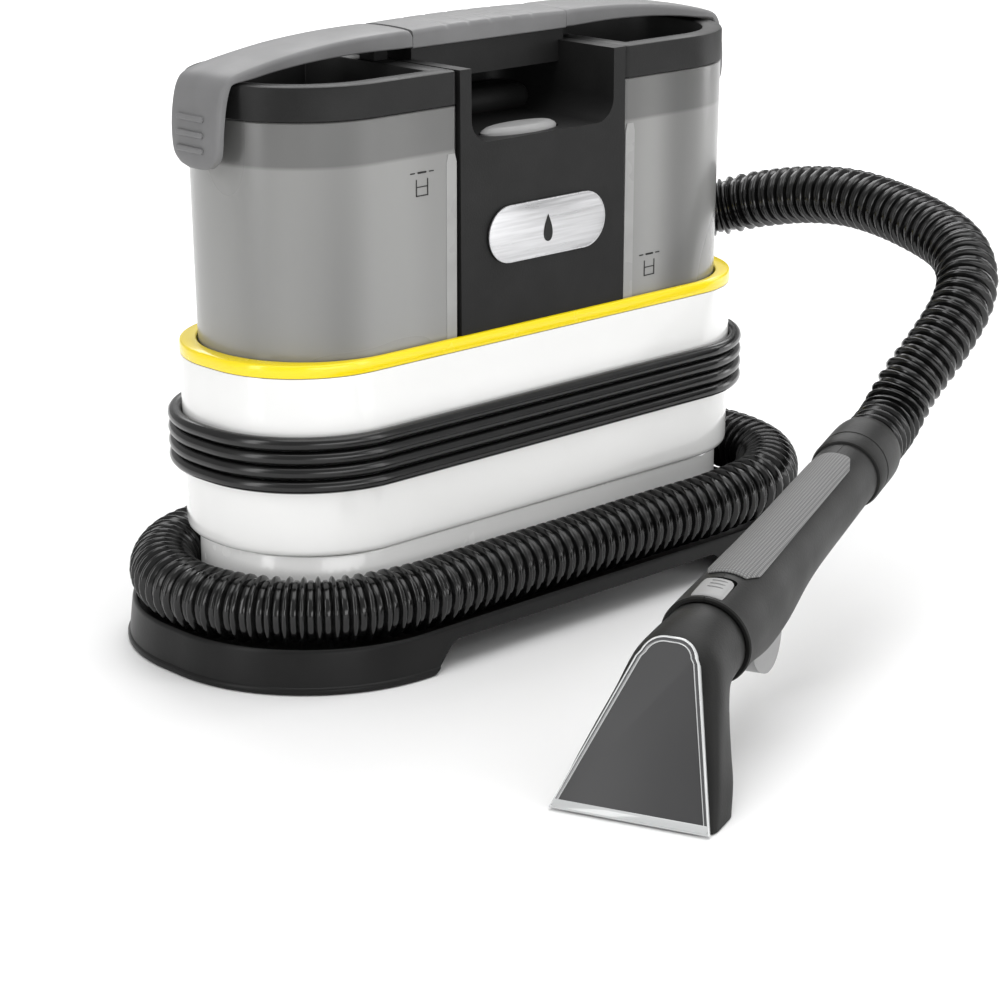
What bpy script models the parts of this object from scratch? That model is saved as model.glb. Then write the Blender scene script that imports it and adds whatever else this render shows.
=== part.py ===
"""Compact spot cleaner for carpet and upholstery: base, twin tanks, hose and hand tool.

Units are metres and +Z is up.  The machine's long axis is X and its front faces -Y.
The origin is the bottom centre of the rigid parts' box, on the floor.
"""
import math

import bmesh
import bpy
from mathutils import Matrix, Vector

PART_NAME = "carpet_cleaner"

# ---- where the machine and the hand tool stand ------------------------------
MACHINE_Y = 0.121                       # the machine's centre, behind the origin
TOOL_PLACE = (-0.184, -0.185, 0.0)      # middle of the nozzle's lip, on the floor
TOOL_HEADING = math.radians(21.5)       # the tool's long axis, from +X
TOOL_PITCH = math.radians(6.8)          # how far its axis rises towards the hose

GAP = 0.0004                            # clearance between fixed neighbours
ARC_STEPS = 8                           # points on each rounded corner

# ---- base and shells --------------------------------------------------------
TRAY_LENGTH, TRAY_WIDTH, TRAY_RADIUS = 0.435, 0.204, 0.094
TRAY_TOP = 0.024
DECK_Z = 0.0205                         # the deck that the hose lies on
ARCH_HALF, ARCH_FLAT, ARCH_TOP = 0.122, 0.100, 0.016
FOOT_X, FOOT_Y, FOOT_RADIUS, FOOT_TOP = 0.150, 0.062, 0.011, 0.003
PLINTH_LENGTH, PLINTH_WIDTH, PLINTH_RADIUS = 0.3555, 0.1255, 0.060
PLINTH_TOP = 0.0625
SHELL_LENGTH = 0.370
SHELL_TOP_WIDTH, SHELL_BOTTOM_WIDTH = 0.129, 0.137
SHELL_LOW, SHELL_TOP = 0.0680, 0.1617
RING_TOP = 0.1690
DECK_TOP = 0.1600

# ---- tanks, lids and their latch arms ---------------------------------------
TANK_INNER_X, TANK_END_X = 0.0626, 0.1755
TANK_HALF, TANK_RADIUS = 0.0600, 0.0580
TANK_DRAFT = 0.0020                     # how much each wall leans out at the top
TANK_LOW, TANK_TOP, TANK_WALL = 0.1604, 0.2936, 0.0022
LID_LOW, LID_TOP, WELL_FLOOR = 0.2715, 0.3120, 0.2800
ARM_HALF_WIDTH = 0.020
HINGE_X, HINGE_Z, PIN_RADIUS = 0.0655, 0.3262, 0.0009
VALVE_X = -0.110
RISERS = {"dirt_riser": (0.110, 0.020), "air_riser": (0.125, -0.022)}
FLOAT_X, FLOAT_Y = 0.085, -0.028

# ---- tower ------------------------------------------------------------------
TOWER_HALF, TOWER_DEPTH, TOWER_TOP = 0.0621, 0.062, 0.312
RECESS_FLOOR = 0.272
BEAM_TOP = 0.3180
BUTTON_X, BUTTON_Y = -0.005, -0.0465
BUTTON_HALF_LENGTH, BUTTON_HALF_DEPTH = 0.0270, 0.0105

# ---- hose and power cord ----------------------------------------------------
HOSE_RADIUS = 0.0185
WRAP_HALF_STRAIGHT, WRAP_RADIUS, WRAP_Z = 0.117, 0.0834, 0.0395
# how far the hose swells out and up round the right end, every 30 degrees from the rear
RIGHT_BULGE = ((0.0, 0.0), (0.003, 0.0025), (0.008, 0.0047), (0.012, 0.0052), (0.014, 0.0052),
               (0.010, 0.0047), (0.003, 0.0022))
PORT_X, HOSE_START_X = 0.066, 0.0924
CORD_RADIUS = 0.00375
WIND_LOW, WIND_TOP = 0.1010, 0.1320
GLAND_Z, GLAND_Y = 0.088, 0.0740

# ---- hand tool, in its own frame: +X along it, +Z up, lip at the origin ------
AXIS_FOOT = (0.0985, 0.0579)            # the tool's axis at the collar
GRIP_END, CUFF_END, BUTTON_AT = 0.3120, 0.3510, 0.1110
NECK_RADIUS, SPIGOT_RADIUS = 0.0215, 0.0205
PIPE_RADIUS, CUFF_RADIUS = 0.013, 0.021
WINDOW_RISE, WINDOW_RUN = 0.074, 0.054
WINDOW_LOW_HALF, WINDOW_TOP_HALF, WINDOW_THICK = 0.0407, 0.015, 0.0024
TRIGGER_PIVOT = (0.1530, 0.0370)

# Colour, roughness, metallic.
LOOKS = {
    "charcoal": ((0.028, 0.028, 0.028), 0.55, 0.0),
    "tray": ((0.018, 0.018, 0.018), 0.50, 0.0),
    "white": ((0.80, 0.80, 0.78), 0.18, 0.0),
    "yellow": ((0.94, 0.68, 0.0), 0.25, 0.0),
    "smoke": ((0.30, 0.30, 0.29), 0.20, 0.0),
    "grey": ((0.22, 0.22, 0.22), 0.45, 0.0),
    "pale_grey": ((0.40, 0.40, 0.40), 0.40, 0.0),
    "rubber": ((0.010, 0.010, 0.010), 0.35, 0.0),
    "steel": ((0.55, 0.55, 0.56), 0.30, 1.0),
    "brass": ((0.60, 0.45, 0.18), 0.30, 1.0),
    "clear": ((0.60, 0.62, 0.63), 0.08, 0.0),
    "inner": ((0.10, 0.10, 0.11), 0.60, 0.0),
}

AXES = {
    "X": Matrix(((0, 0, 1, 0), (1, 0, 0, 0), (0, 1, 0, 0), (0, 0, 0, 1))),
    "Y": Matrix.Rotation(math.pi / 2, 4, "X"),
    "Z": Matrix.Identity(4),
}


# ---- scene and finishing ----------------------------------------------------
def clear_scene():
    for item in list(bpy.data.objects):
        bpy.data.objects.remove(item, do_unlink=True)


def new_collection(name):
    group = bpy.data.collections.new(name)
    bpy.context.scene.collection.children.link(group)
    return group


def add_mesh(name, bm):
    """Close a bmesh into an object of the parts collection, its faces pointing out."""
    bmesh.ops.recalc_face_normals(bm, faces=bm.faces)
    mesh = bpy.data.meshes.new(name)
    bm.to_mesh(mesh)
    bm.free()
    item = bpy.data.objects.new(name, mesh)
    PARTS.objects.link(item)
    return item


def as_mesh(item, name):
    """Turn a curve or a modified object into plain welded mesh, in place."""
    bpy.context.view_layer.update()
    graph = bpy.context.evaluated_depsgraph_get()
    mesh = bpy.data.meshes.new_from_object(item.evaluated_get(graph))
    bpy.data.objects.remove(item, do_unlink=True)
    bm = bmesh.new()
    bm.from_mesh(mesh)
    bpy.data.meshes.remove(mesh)
    bmesh.ops.remove_doubles(bm, verts=bm.verts, dist=0.00001)
    return add_mesh(name, bm)


def finish(item, look, frame, origin=(0.0, 0.0, 0.0)):
    """Give a piece its material, put its origin on its joint and hang it on a frame."""
    colour, roughness, metallic = LOOKS[look]
    material = bpy.data.materials.new(item.name + "_material")
    material.use_nodes = True
    shader = material.node_tree.nodes["Principled BSDF"]
    shader.inputs["Base Color"].default_value = (*colour, 1.0)
    shader.inputs["Roughness"].default_value = roughness
    shader.inputs["Metallic"].default_value = metallic
    item.data.materials.append(material)
    item.data.transform(Matrix.Translation(-Vector(origin)))
    item.data.shade_smooth()
    item.data.set_sharp_from_angle(angle=math.radians(35))
    item.location = origin
    item.parent = frame
    for modifier in item.modifiers:
        if modifier.type == "BOOLEAN":
            modifier.object.parent = frame
    return item


# ---- shapes -----------------------------------------------------------------
def outline(low, high, half, low_radius, high_radius, z, steps=ARC_STEPS):
    """A rounded outline between x=low and x=high, with its own corner radius at each end."""
    corners = ((high, -1, high_radius, -90), (high, 1, high_radius, 0),
               (low, 1, low_radius, 90), (low, -1, low_radius, 180))
    points = []
    for x, side, radius, start in corners:
        centre_x = x - radius if x == high else x + radius
        for step in range(steps + 1):
            turn = math.radians(start + 90 * step / steps)
            points.append(Vector((centre_x + radius * math.cos(turn),
                                  side * (half - radius) + radius * math.sin(turn), z)))
    return points


def oval(length, width, radius, z):
    return outline(-length / 2, length / 2, width / 2, radius, radius, z)


def loft(name, rings, ring_shaped=False):
    """Skin equal rings into a solid, capped at both ends or closed round on itself."""
    bm = bmesh.new()
    loops = [[bm.verts.new(point) for point in ring] for ring in rings]
    count = len(loops[0])
    pairs = list(zip(loops, loops[1:]))
    if ring_shaped:
        pairs.append((loops[-1], loops[0]))
    else:
        bm.faces.new(list(reversed(loops[0])))
        bm.faces.new(loops[-1])
    for low, high in pairs:
        for i in range(count):
            j = (i + 1) % count
            bm.faces.new((low[i], low[j], high[j], high[i]))
    return add_mesh(name, bm)


def prism(name, points, low, high, axis="Z"):
    """Extrude a flat outline between two heights along an axis."""
    curve = bpy.data.curves.new(name, "CURVE")
    curve.dimensions = "2D"
    curve.fill_mode = "BOTH"
    curve.extrude = (high - low) / 2
    spline = curve.splines.new("POLY")
    spline.points.add(len(points) - 1)
    for target, point in zip(spline.points, points):
        target.co = (point[0], point[1], 0.0, 1.0)
    spline.use_cyclic_u = True
    item = bpy.data.objects.new(name, curve)
    PARTS.objects.link(item)
    item = as_mesh(item, name)
    middle = (low + high) / 2
    offset = Vector((middle, 0, 0)) if axis == "X" else Vector((0, middle, 0))
    if axis == "Z":
        offset = Vector((0, 0, middle))
    item.data.transform(Matrix.Translation(offset) @ AXES[axis])
    return item


def box(name, low, high):
    bm = bmesh.new()
    bmesh.ops.create_cube(bm, size=1.0)
    size = Vector(high) - Vector(low)
    middle = (Vector(high) + Vector(low)) / 2
    bmesh.ops.scale(bm, vec=size, verts=bm.verts)
    bmesh.ops.translate(bm, vec=middle, verts=bm.verts)
    return add_mesh(name, bm)


def rod(name, start, end, radius, end_radius=None, sides=28):
    """A cylinder or cone between two points."""
    start, end = Vector(start), Vector(end)
    run = end - start
    bm = bmesh.new()
    bmesh.ops.create_cone(bm, cap_ends=True, segments=sides, radius1=radius,
                          radius2=radius if end_radius is None else end_radius,
                          depth=run.length)
    turn = Vector((0, 0, 1)).rotation_difference(run).to_matrix().to_4x4()
    bmesh.ops.transform(bm, matrix=Matrix.Translation((start + end) / 2) @ turn,
                        verts=bm.verts)
    return add_mesh(name, bm)


def turned(name, profile, closed, base=(0.0, 0.0, 0.0), steps=28):
    """Spin a radius-height profile round a vertical axis."""
    mesh = bpy.data.meshes.new(name)
    edges = [(i, i + 1) for i in range(len(profile) - 1)]
    if closed:
        edges.append((len(profile) - 1, 0))
    mesh.from_pydata([(radius, 0.0, height) for radius, height in profile], edges, [])
    item = bpy.data.objects.new(name, mesh)
    PARTS.objects.link(item)
    screw = item.modifiers.new("turn", "SCREW")
    screw.axis = "Z"
    screw.steps = screw.render_steps = steps
    screw.use_merge_vertices = True
    screw.merge_threshold = 0.00001
    item = as_mesh(item, name)
    item.data.transform(Matrix.Translation(base))
    return item


def tube(name, points, radius, resolution=2):
    """A round bar along a list of points, with flat ends."""
    curve = bpy.data.curves.new(name, "CURVE")
    curve.dimensions = "3D"
    curve.bevel_depth = radius
    curve.bevel_resolution = resolution
    curve.use_fill_caps = True
    spline = curve.splines.new("POLY")
    spline.points.add(len(points) - 1)
    for target, point in zip(spline.points, points):
        target.co = (*point, 1.0)
    item = bpy.data.objects.new(name, curve)
    PARTS.objects.link(item)
    return as_mesh(item, name)


def smooth_path(route, spacing):
    """Read evenly spaced points from a smooth curve through a route's points."""
    route = [Vector(point) for point in route]
    ends = [2 * route[0] - route[1]] + route + [2 * route[-1] - route[-2]]
    fine = []
    for before, start, end, after in zip(ends, ends[1:], ends[2:], ends[3:]):
        for step in range(20):
            t = step / 20
            fine.append(0.5 * (2 * start + (end - before) * t
                               + (2 * before - 5 * start + 4 * end - after) * t ** 2
                               + (3 * start - before - 3 * end + after) * t ** 3))
    fine.append(route[-1])
    lengths = [0.0]
    for start, end in zip(fine, fine[1:]):
        lengths.append(lengths[-1] + (end - start).length)
    count = max(2, round(lengths[-1] / spacing))
    points, index = [], 0
    for number in range(count + 1):
        goal = lengths[-1] * number / count
        while index < len(fine) - 2 and lengths[index + 1] < goal:
            index += 1
        share = (goal - lengths[index]) / (lengths[index + 1] - lengths[index])
        points.append(fine[index].lerp(fine[index + 1], min(1.0, share)))
    return points


def combine(target, other, operation="DIFFERENCE"):
    """Cut a piece with another shape, or join them, and keep the shape as a cutter."""
    modifier = target.modifiers.new(other.name, "BOOLEAN")
    modifier.operation = operation
    modifier.object = other
    other.hide_render = True
    other.display_type = "WIRE"
    PARTS.objects.unlink(other)
    CUTTERS.objects.link(other)


def arc(centre_x, centre_y, radius, start, end, steps):
    """Points on an arc, with its angles in degrees."""
    points = []
    for step in range(steps + 1):
        turn = math.radians(start + (end - start) * step / steps)
        points.append((centre_x + radius * math.cos(turn), centre_y + radius * math.sin(turn)))
    return points


# ---- base -------------------------------------------------------------------
def build_base(frame):
    tray = loft("base_tray", [
        oval(0.4240, 0.1930, 0.0885, 0.0172),
        oval(0.4290, 0.1980, 0.0910, 0.0004),
        oval(TRAY_LENGTH, TRAY_WIDTH, TRAY_RADIUS, 0.0004),
        oval(TRAY_LENGTH, TRAY_WIDTH, TRAY_RADIUS, 0.0030),
        oval(0.4325, 0.2015, 0.0925, 0.0042),
        oval(0.4280, 0.1980, 0.0910, TRAY_TOP - 0.0008),
        oval(0.4270, 0.1970, 0.0905, TRAY_TOP),
        oval(0.4230, 0.1930, 0.0885, TRAY_TOP),
        oval(0.4210, 0.1910, 0.0875, DECK_Z)])
    arch = [(-ARCH_HALF - 0.001, -0.01), (-ARCH_HALF, 0.0)]
    for step in range(1, 7):
        t = step / 6
        arch.append((-ARCH_HALF + (ARCH_HALF - ARCH_FLAT) * t,
                     ARCH_TOP * (3 * t ** 2 - 2 * t ** 3)))
    arch += [(-x, z) for x, z in reversed(arch)]
    combine(tray, prism("arch_cutter", arch, -0.12, 0.12, "Y"))
    places = [(x, y) for x in (-FOOT_X, FOOT_X) for y in (-FOOT_Y, FOOT_Y)]
    for number, (x, y) in enumerate(places, 1):
        boss = rod(f"boss_{number}", (x, y, FOOT_TOP + GAP), (x, y, 0.0176), FOOT_RADIUS)
        combine(tray, boss, "UNION")
        pad = rod(f"foot_pad_{number}", (x, y, 0), (x, y, FOOT_TOP), FOOT_RADIUS)
        finish(pad, "rubber", frame)
    finish(tray, "tray", frame)

    plinth = loft("plinth", [
        oval(PLINTH_LENGTH, PLINTH_WIDTH, PLINTH_RADIUS, DECK_Z + GAP),
        oval(PLINTH_LENGTH, PLINTH_WIDTH, PLINTH_RADIUS, PLINTH_TOP),
        oval(PLINTH_LENGTH - 0.005, PLINTH_WIDTH - 0.005, PLINTH_RADIUS - 0.0025, PLINTH_TOP),
        oval(PLINTH_LENGTH - 0.005, PLINTH_WIDTH - 0.005, PLINTH_RADIUS - 0.0025, 0.0235)])
    combine(plinth, rod("port_hole", (PORT_X, 0.055, 0.040), (PORT_X, 0.070, 0.040), 0.0125))
    finish(plinth, "white", frame)


def build_shell(frame):
    shell = loft("main_shell", [
        oval(0.3440, 0.1140, 0.0540, PLINTH_TOP + GAP),
        oval(0.3520, 0.1220, 0.0580, PLINTH_TOP + GAP),
        oval(0.3520, 0.1220, 0.0580, 0.0645),
        oval(0.3640, 0.1310, 0.0630, 0.0645),
        oval(0.3685, 0.1355, 0.0652, 0.0658),
        oval(SHELL_LENGTH, SHELL_BOTTOM_WIDTH, 0.0660, SHELL_LOW),
        oval(SHELL_LENGTH, SHELL_TOP_WIDTH, 0.0580, SHELL_TOP),
        oval(0.3650, 0.1240, 0.0555, SHELL_TOP),
        oval(0.3650, 0.1310, 0.0635, 0.0700),
        oval(0.3440, 0.1140, 0.0540, 0.0665)], ring_shaped=True)
    finish(shell, "white", frame)

    low = SHELL_TOP + GAP
    ring = loft("accent_ring", [
        oval(SHELL_LENGTH, SHELL_TOP_WIDTH, 0.0580, low),
        oval(SHELL_LENGTH, SHELL_TOP_WIDTH, 0.0580, RING_TOP - 0.001),
        oval(0.3685, 0.1275, 0.0572, RING_TOP),
        oval(0.3525, 0.1215, 0.0585, RING_TOP),
        oval(0.3525, 0.1215, 0.0585, low)], ring_shaped=True)
    finish(ring, "yellow", frame)

    deck = loft("tank_deck", [oval(0.3640, 0.1230, 0.0548, DECK_TOP - 0.003),
                              oval(0.3640, 0.1230, 0.0548, DECK_TOP)])
    holes = [(VALVE_X, 0.0, 0.0120)] + [(x, y, 0.0125) for x, y in RISERS.values()]
    for number, (x, y, radius) in enumerate(holes, 1):
        combine(deck, rod(f"deck_hole_{number}", (x, y, 0.15), (x, y, 0.17), radius))
    combine(deck, box("deck_window", (-0.045, -0.040, 0.15), (0.045, 0.040, 0.17)))
    finish(deck, "inner", frame)


# ---- tower and handle -------------------------------------------------------
def build_tower(frame):
    tower = box("tower_housing", (-TOWER_HALF, -TOWER_DEPTH, DECK_TOP + GAP),
                (TOWER_HALF, TOWER_DEPTH, TOWER_TOP))
    for side in (-1, 1):
        foot = sorted((side * 0.0600, side * 0.0700))
        step = box(f"foot_step_{side + 1}", (-0.07, foot[0], 0.150), (0.07, foot[1], RING_TOP + GAP))
        combine(tower, step)
    recess = [(-0.054, 0.330), (-0.054, 0.300)]
    recess += arc(-0.041, RECESS_FLOOR + 0.013, 0.013, 180, 270, 5)
    recess += arc(0.040, RECESS_FLOOR + 0.013, 0.013, 270, 360, 5)
    recess += [(0.053, 0.330)]
    combine(tower, prism("recess_cutter", recess, -0.080, 0.030, "Y"))
    combine(tower, box("tower_inside", (-0.0590, -0.0570, 0.150), (0.0590, 0.0570, 0.268)))
    button_hole = [(BUTTON_X + (BUTTON_HALF_LENGTH + 0.0005) * math.cos(a),
                    BUTTON_Y + (BUTTON_HALF_DEPTH + 0.0005) * math.sin(a))
                   for a in (2 * math.pi * i / 28 for i in range(28))]
    combine(tower, prism("button_hole", button_hole, 0.262, 0.280))
    combine(tower, box("rear_window", (-0.045, 0.050, 0.185), (0.045, 0.070, 0.260)))
    combine(tower, box("beam", (-0.0570, -0.0180, 0.3000), (0.0570, 0.0305, BEAM_TOP)), "UNION")
    finish(tower, "charcoal", frame)

    cover = box("rear_cover", (-0.0446, 0.0585, 0.1854), (0.0446, 0.0620, 0.2596))
    for number in range(6):
        low = 0.196 + number * 0.010
        slot = box(f"louvre_{number + 1}", (-0.034, 0.05, low), (0.034, 0.07, low + 0.004))
        combine(cover, slot)
    finish(cover, "charcoal", frame)

    button = [(BUTTON_X + BUTTON_HALF_LENGTH * math.cos(a),
               BUTTON_Y + BUTTON_HALF_DEPTH * math.sin(a))
              for a in (2 * math.pi * i / 28 for i in range(28))]
    finish(prism("power_button", button, 0.2645, 0.2757), "pale_grey", frame,
           (BUTTON_X, BUTTON_Y, 0.2700))
    finish(box("power_switch", (-0.015, -0.048, 0.2440), (0.001, -0.038, 0.2605)), "inner", frame)

    badge = arc(0.0285, 0.0, 0.01575, -90, 90, 10) + arc(-0.0285, 0.0, 0.01575, 90, 270, 10)
    badge = [(x + 0.001, z + 0.220) for x, z in badge]
    finish(prism("badge_plate", badge, -0.0640, -0.0624, "Y"), "steel", frame)

    sections = []
    for x in (-0.0573, -0.040, -0.020, 0.0, 0.020, 0.040, 0.0573):
        top = 0.3300 - 0.0010 * (x / 0.0573) ** 2
        sections.append(bar_section((x, top), (x, BEAM_TOP + GAP), ARM_HALF_WIDTH))
    finish(loft("handle_centre", sections), "grey", frame)


def bar_section(top, bottom, half):
    """One cross-section of the carrying bar: a box across Y with a domed top."""
    top, bottom = Vector((top[0], 0, top[1])), Vector((bottom[0], 0, bottom[1]))
    shape = ((-1.0, 0.0), (-1.0, 0.45), (-0.9, 0.76), (-0.66, 0.93), (0.0, 1.0),
             (0.66, 0.93), (0.9, 0.76), (1.0, 0.45), (1.0, 0.0))
    return [bottom.lerp(top, height) + Vector((0, across * half, 0))
            for across, height in shape]


# ---- tanks ------------------------------------------------------------------
def tank_outline(side, z, inset, grow=0.0):
    """The D-shaped outline of a tank or lid; grow moves its outer walls out."""
    points = outline(TANK_INNER_X + inset, TANK_END_X + grow - inset, TANK_HALF + grow / 2 - inset,
                     max(0.0010, 0.0040 - inset), TANK_RADIUS + grow / 2 - inset, z)
    return [Vector((side * point.x, point.y, point.z)) for point in points]


def build_tank(side, prefix, frame):
    tank = loft(f"{prefix}_tank", [
        tank_outline(side, TANK_LOW, 0.0),
        tank_outline(side, TANK_TOP, 0.0, TANK_DRAFT),
        tank_outline(side, TANK_TOP, TANK_WALL, TANK_DRAFT),
        tank_outline(side, TANK_LOW + 0.0028, TANK_WALL)])
    if side < 0:
        combine(tank, rod("valve_bore", (VALVE_X, 0, 0.150), (VALVE_X, 0, 0.170), 0.0046))
    else:
        for name, (x, y) in RISERS.items():
            combine(tank, rod(f"{name}_bore", (x, y, 0.150), (x, y, 0.170), 0.0090))
    finish(tank, "smoke", frame)

    grow = 0.0030
    lid = loft(f"{prefix}_lid", [
        tank_outline(side, LID_LOW, 0.0036, grow),
        tank_outline(side, TANK_TOP + GAP, 0.0036, grow),
        tank_outline(side, TANK_TOP + GAP, 0.0002, grow),
        tank_outline(side, LID_TOP - 0.0015, 0.0004, grow),
        tank_outline(side, LID_TOP, 0.0016, grow),
        tank_outline(side, LID_TOP, 0.0112, grow),
        tank_outline(side, LID_TOP - 0.0015, 0.0120, grow),
        tank_outline(side, WELL_FLOOR, 0.0130, grow)])
    tongue = [(0.0634, 0.3100), (0.0728, 0.3100), (0.0728, 0.3172)]
    tongue += arc(HINGE_X, HINGE_Z, 0.00175, 60, 250, 8) + [(0.0634, 0.3172)]
    tongue = [(side * x, z) for x, z in tongue]
    combine(lid, prism(f"{prefix}_tongue", tongue, -0.006, 0.006, "Y"), "UNION")
    axis = (side * HINGE_X, 0.0, HINGE_Z)
    bore = rod(f"{prefix}_tongue_bore", (axis[0], -0.03, HINGE_Z), (axis[0], 0.03, HINGE_Z),
               PIN_RADIUS + 0.0003, sides=16)
    combine(lid, bore)
    finish(lid, "charcoal", frame)
    build_arm(side, prefix, axis, frame)


def build_arm(side, prefix, axis, frame):
    """The latch arm that runs from its hinge pin, over the lid, to a ribbed tab at the end."""
    stations = (
        ((0.0576, 0.3268), (0.0576, 0.3190), 0.0200), ((0.0588, 0.3284), (0.0588, 0.3190), 0.0200),
        ((0.0605, 0.3289), (0.0605, 0.3190), 0.0200), ((0.0660, 0.3292), (0.0660, 0.3190), 0.0200),
        ((0.0950, 0.3286), (0.0950, 0.3195), 0.0200), ((0.1250, 0.3265), (0.1245, 0.3185), 0.0200),
        ((0.1500, 0.3232), (0.1490, 0.3163), 0.0200), ((0.1690, 0.3198), (0.1670, 0.3138), 0.0200),
        ((0.1805, 0.3165), (0.1775, 0.3127), 0.0200), ((0.1860, 0.3115), (0.1806, 0.3102), 0.0200),
        ((0.1890, 0.3030), (0.1834, 0.3010), 0.0200),
        ((0.1905, 0.2900), (0.1852, 0.2890), 0.0200), ((0.1908, 0.2770), (0.1856, 0.2765), 0.0175),
        ((0.1900, 0.2685), (0.1866, 0.2685), 0.0100))
    rings = [bar_section((side * top[0], top[1]), (side * low[0], low[1]), half)
             for top, low, half in stations]
    arm = loft(f"{prefix}_latch_arm", rings)
    slot = sorted((side * 0.0560, side * 0.0775))
    combine(arm, box(f"{prefix}_arm_slot", (slot[0], -0.0066, 0.3000), (slot[1], 0.0066, 0.3283)))
    bore = rod(f"{prefix}_arm_bore", (axis[0], -0.0164, HINGE_Z), (axis[0], 0.0164, HINGE_Z),
               PIN_RADIUS + 0.0003, sides=16)
    combine(arm, bore)
    finish(arm, "grey", frame, axis)
    pin = rod(f"{prefix}_hinge_pin", (axis[0], -0.0160, HINGE_Z), (axis[0], 0.0160, HINGE_Z),
              PIN_RADIUS, sides=16)
    finish(pin, "steel", frame, axis)


def build_tank_fittings(frame):
    valve = [(0.0, 0.1668), (0.0085, 0.1668), (0.0090, 0.1662), (0.0090, 0.1636),
             (0.0042, 0.1636), (0.0042, 0.1548), (0.0, 0.1548)]
    finish(turned("fresh_valve", valve, False, (VALVE_X, 0, 0)), "pale_grey", frame,
           (VALVE_X, 0.0, 0.1636))
    for name, (x, y) in RISERS.items():
        pipe = [(0.0120, 0.1636), (0.0120, 0.2600), (0.0098, 0.2600), (0.0098, 0.1636)]
        finish(turned(name, pipe, True, (x, y, 0)), "inner", frame)
    rod_profile = [(0.0, LID_LOW - GAP), (0.0030, LID_LOW - GAP), (0.0030, 0.1935),
                   (0.0065, 0.1935), (0.0065, 0.1915), (0.0, 0.1915)]
    finish(turned("float_rod", rod_profile, False, (FLOAT_X, FLOAT_Y, 0)), "inner", frame)
    ball = [(0.0036, 0.1940), (0.0080, 0.1940), (0.0125, 0.1985), (0.0125, 0.2055),
            (0.0080, 0.2100), (0.0036, 0.2100)]
    finish(turned("dirty_float", ball, True, (FLOAT_X, FLOAT_Y, 0)), "yellow", frame,
           (FLOAT_X, FLOAT_Y, 0.2020))


# ---- motor, pump and ducts --------------------------------------------------
def build_drive(frame):
    cup = [(0.0, 0.0239), (0.0460, 0.0239), (0.0460, 0.0500), (0.0430, 0.0500),
           (0.0430, 0.0268), (0.0, 0.0268)]
    finish(turned("fan_housing", cup, False), "inner", frame)
    can = [(0.0, 0.1300), (0.0340, 0.1300), (0.0380, 0.1260), (0.0380, 0.0534),
           (0.0460, 0.0534), (0.0460, 0.0504), (0.0036, 0.0504), (0.0036, 0.1200), (0.0, 0.1200)]
    finish(turned("motor_can", can, False), "steel", frame)
    rotor = turned("motor_rotor", [(0.0, 0.1190), (0.0030, 0.1190), (0.0030, 0.0400),
                                   (0.0090, 0.0380), (0.0400, 0.0340), (0.0400, 0.0310),
                                   (0.0, 0.0310)], False)
    for number in range(8):
        blade = box(f"blade_{number + 1}", (0.012, -0.0010, 0.0320), (0.038, 0.0010, 0.0460))
        blade.data.transform(Matrix.Rotation(2 * math.pi * number / 8, 4, "Z"))
        combine(rotor, blade, "UNION")
    finish(rotor, "steel", frame, (0.0, 0.0, 0.0310))

    pump = box("water_pump", (-0.135, -0.022, 0.0239), (-0.088, 0.022, 0.0660))
    combine(pump, rod("pump_inlet", (VALVE_X, 0, 0.060), (VALVE_X, 0, 0.1540), 0.0060), "UNION")
    finish(pump, "inner", frame)
    line = [(-0.0871, 0.012, 0.045), (-0.0815, 0.0125, 0.045), (-0.070, 0.030, 0.045),
            (-0.055, 0.046, 0.045),
            (-0.030, 0.054, 0.045), (0.000, 0.0545, 0.045), (0.0535, 0.0545, 0.045)]
    finish(tube("water_line", smooth_path(line, 0.010), 0.0025), "rubber", frame)
    dirt = [(PORT_X, 0.0566, 0.040), (PORT_X, 0.047, 0.040), (0.070, 0.036, 0.048),
            (0.086, 0.027, 0.075), (0.103, 0.021, 0.112), (0.110, 0.020, 0.135),
            (0.110, 0.020, 0.1590)]
    finish(tube("dirt_duct", smooth_path(dirt, 0.012), 0.0090), "inner", frame)
    air = [(0.125, -0.022, 0.1590), (0.125, -0.022, 0.130), (0.114, -0.018, 0.085),
           (0.090, -0.010, 0.054), (0.066, -0.002, 0.0400), (0.0475, 0.0, 0.0390)]
    finish(tube("air_duct", smooth_path(air, 0.012), 0.0090), "inner", frame)


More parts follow.
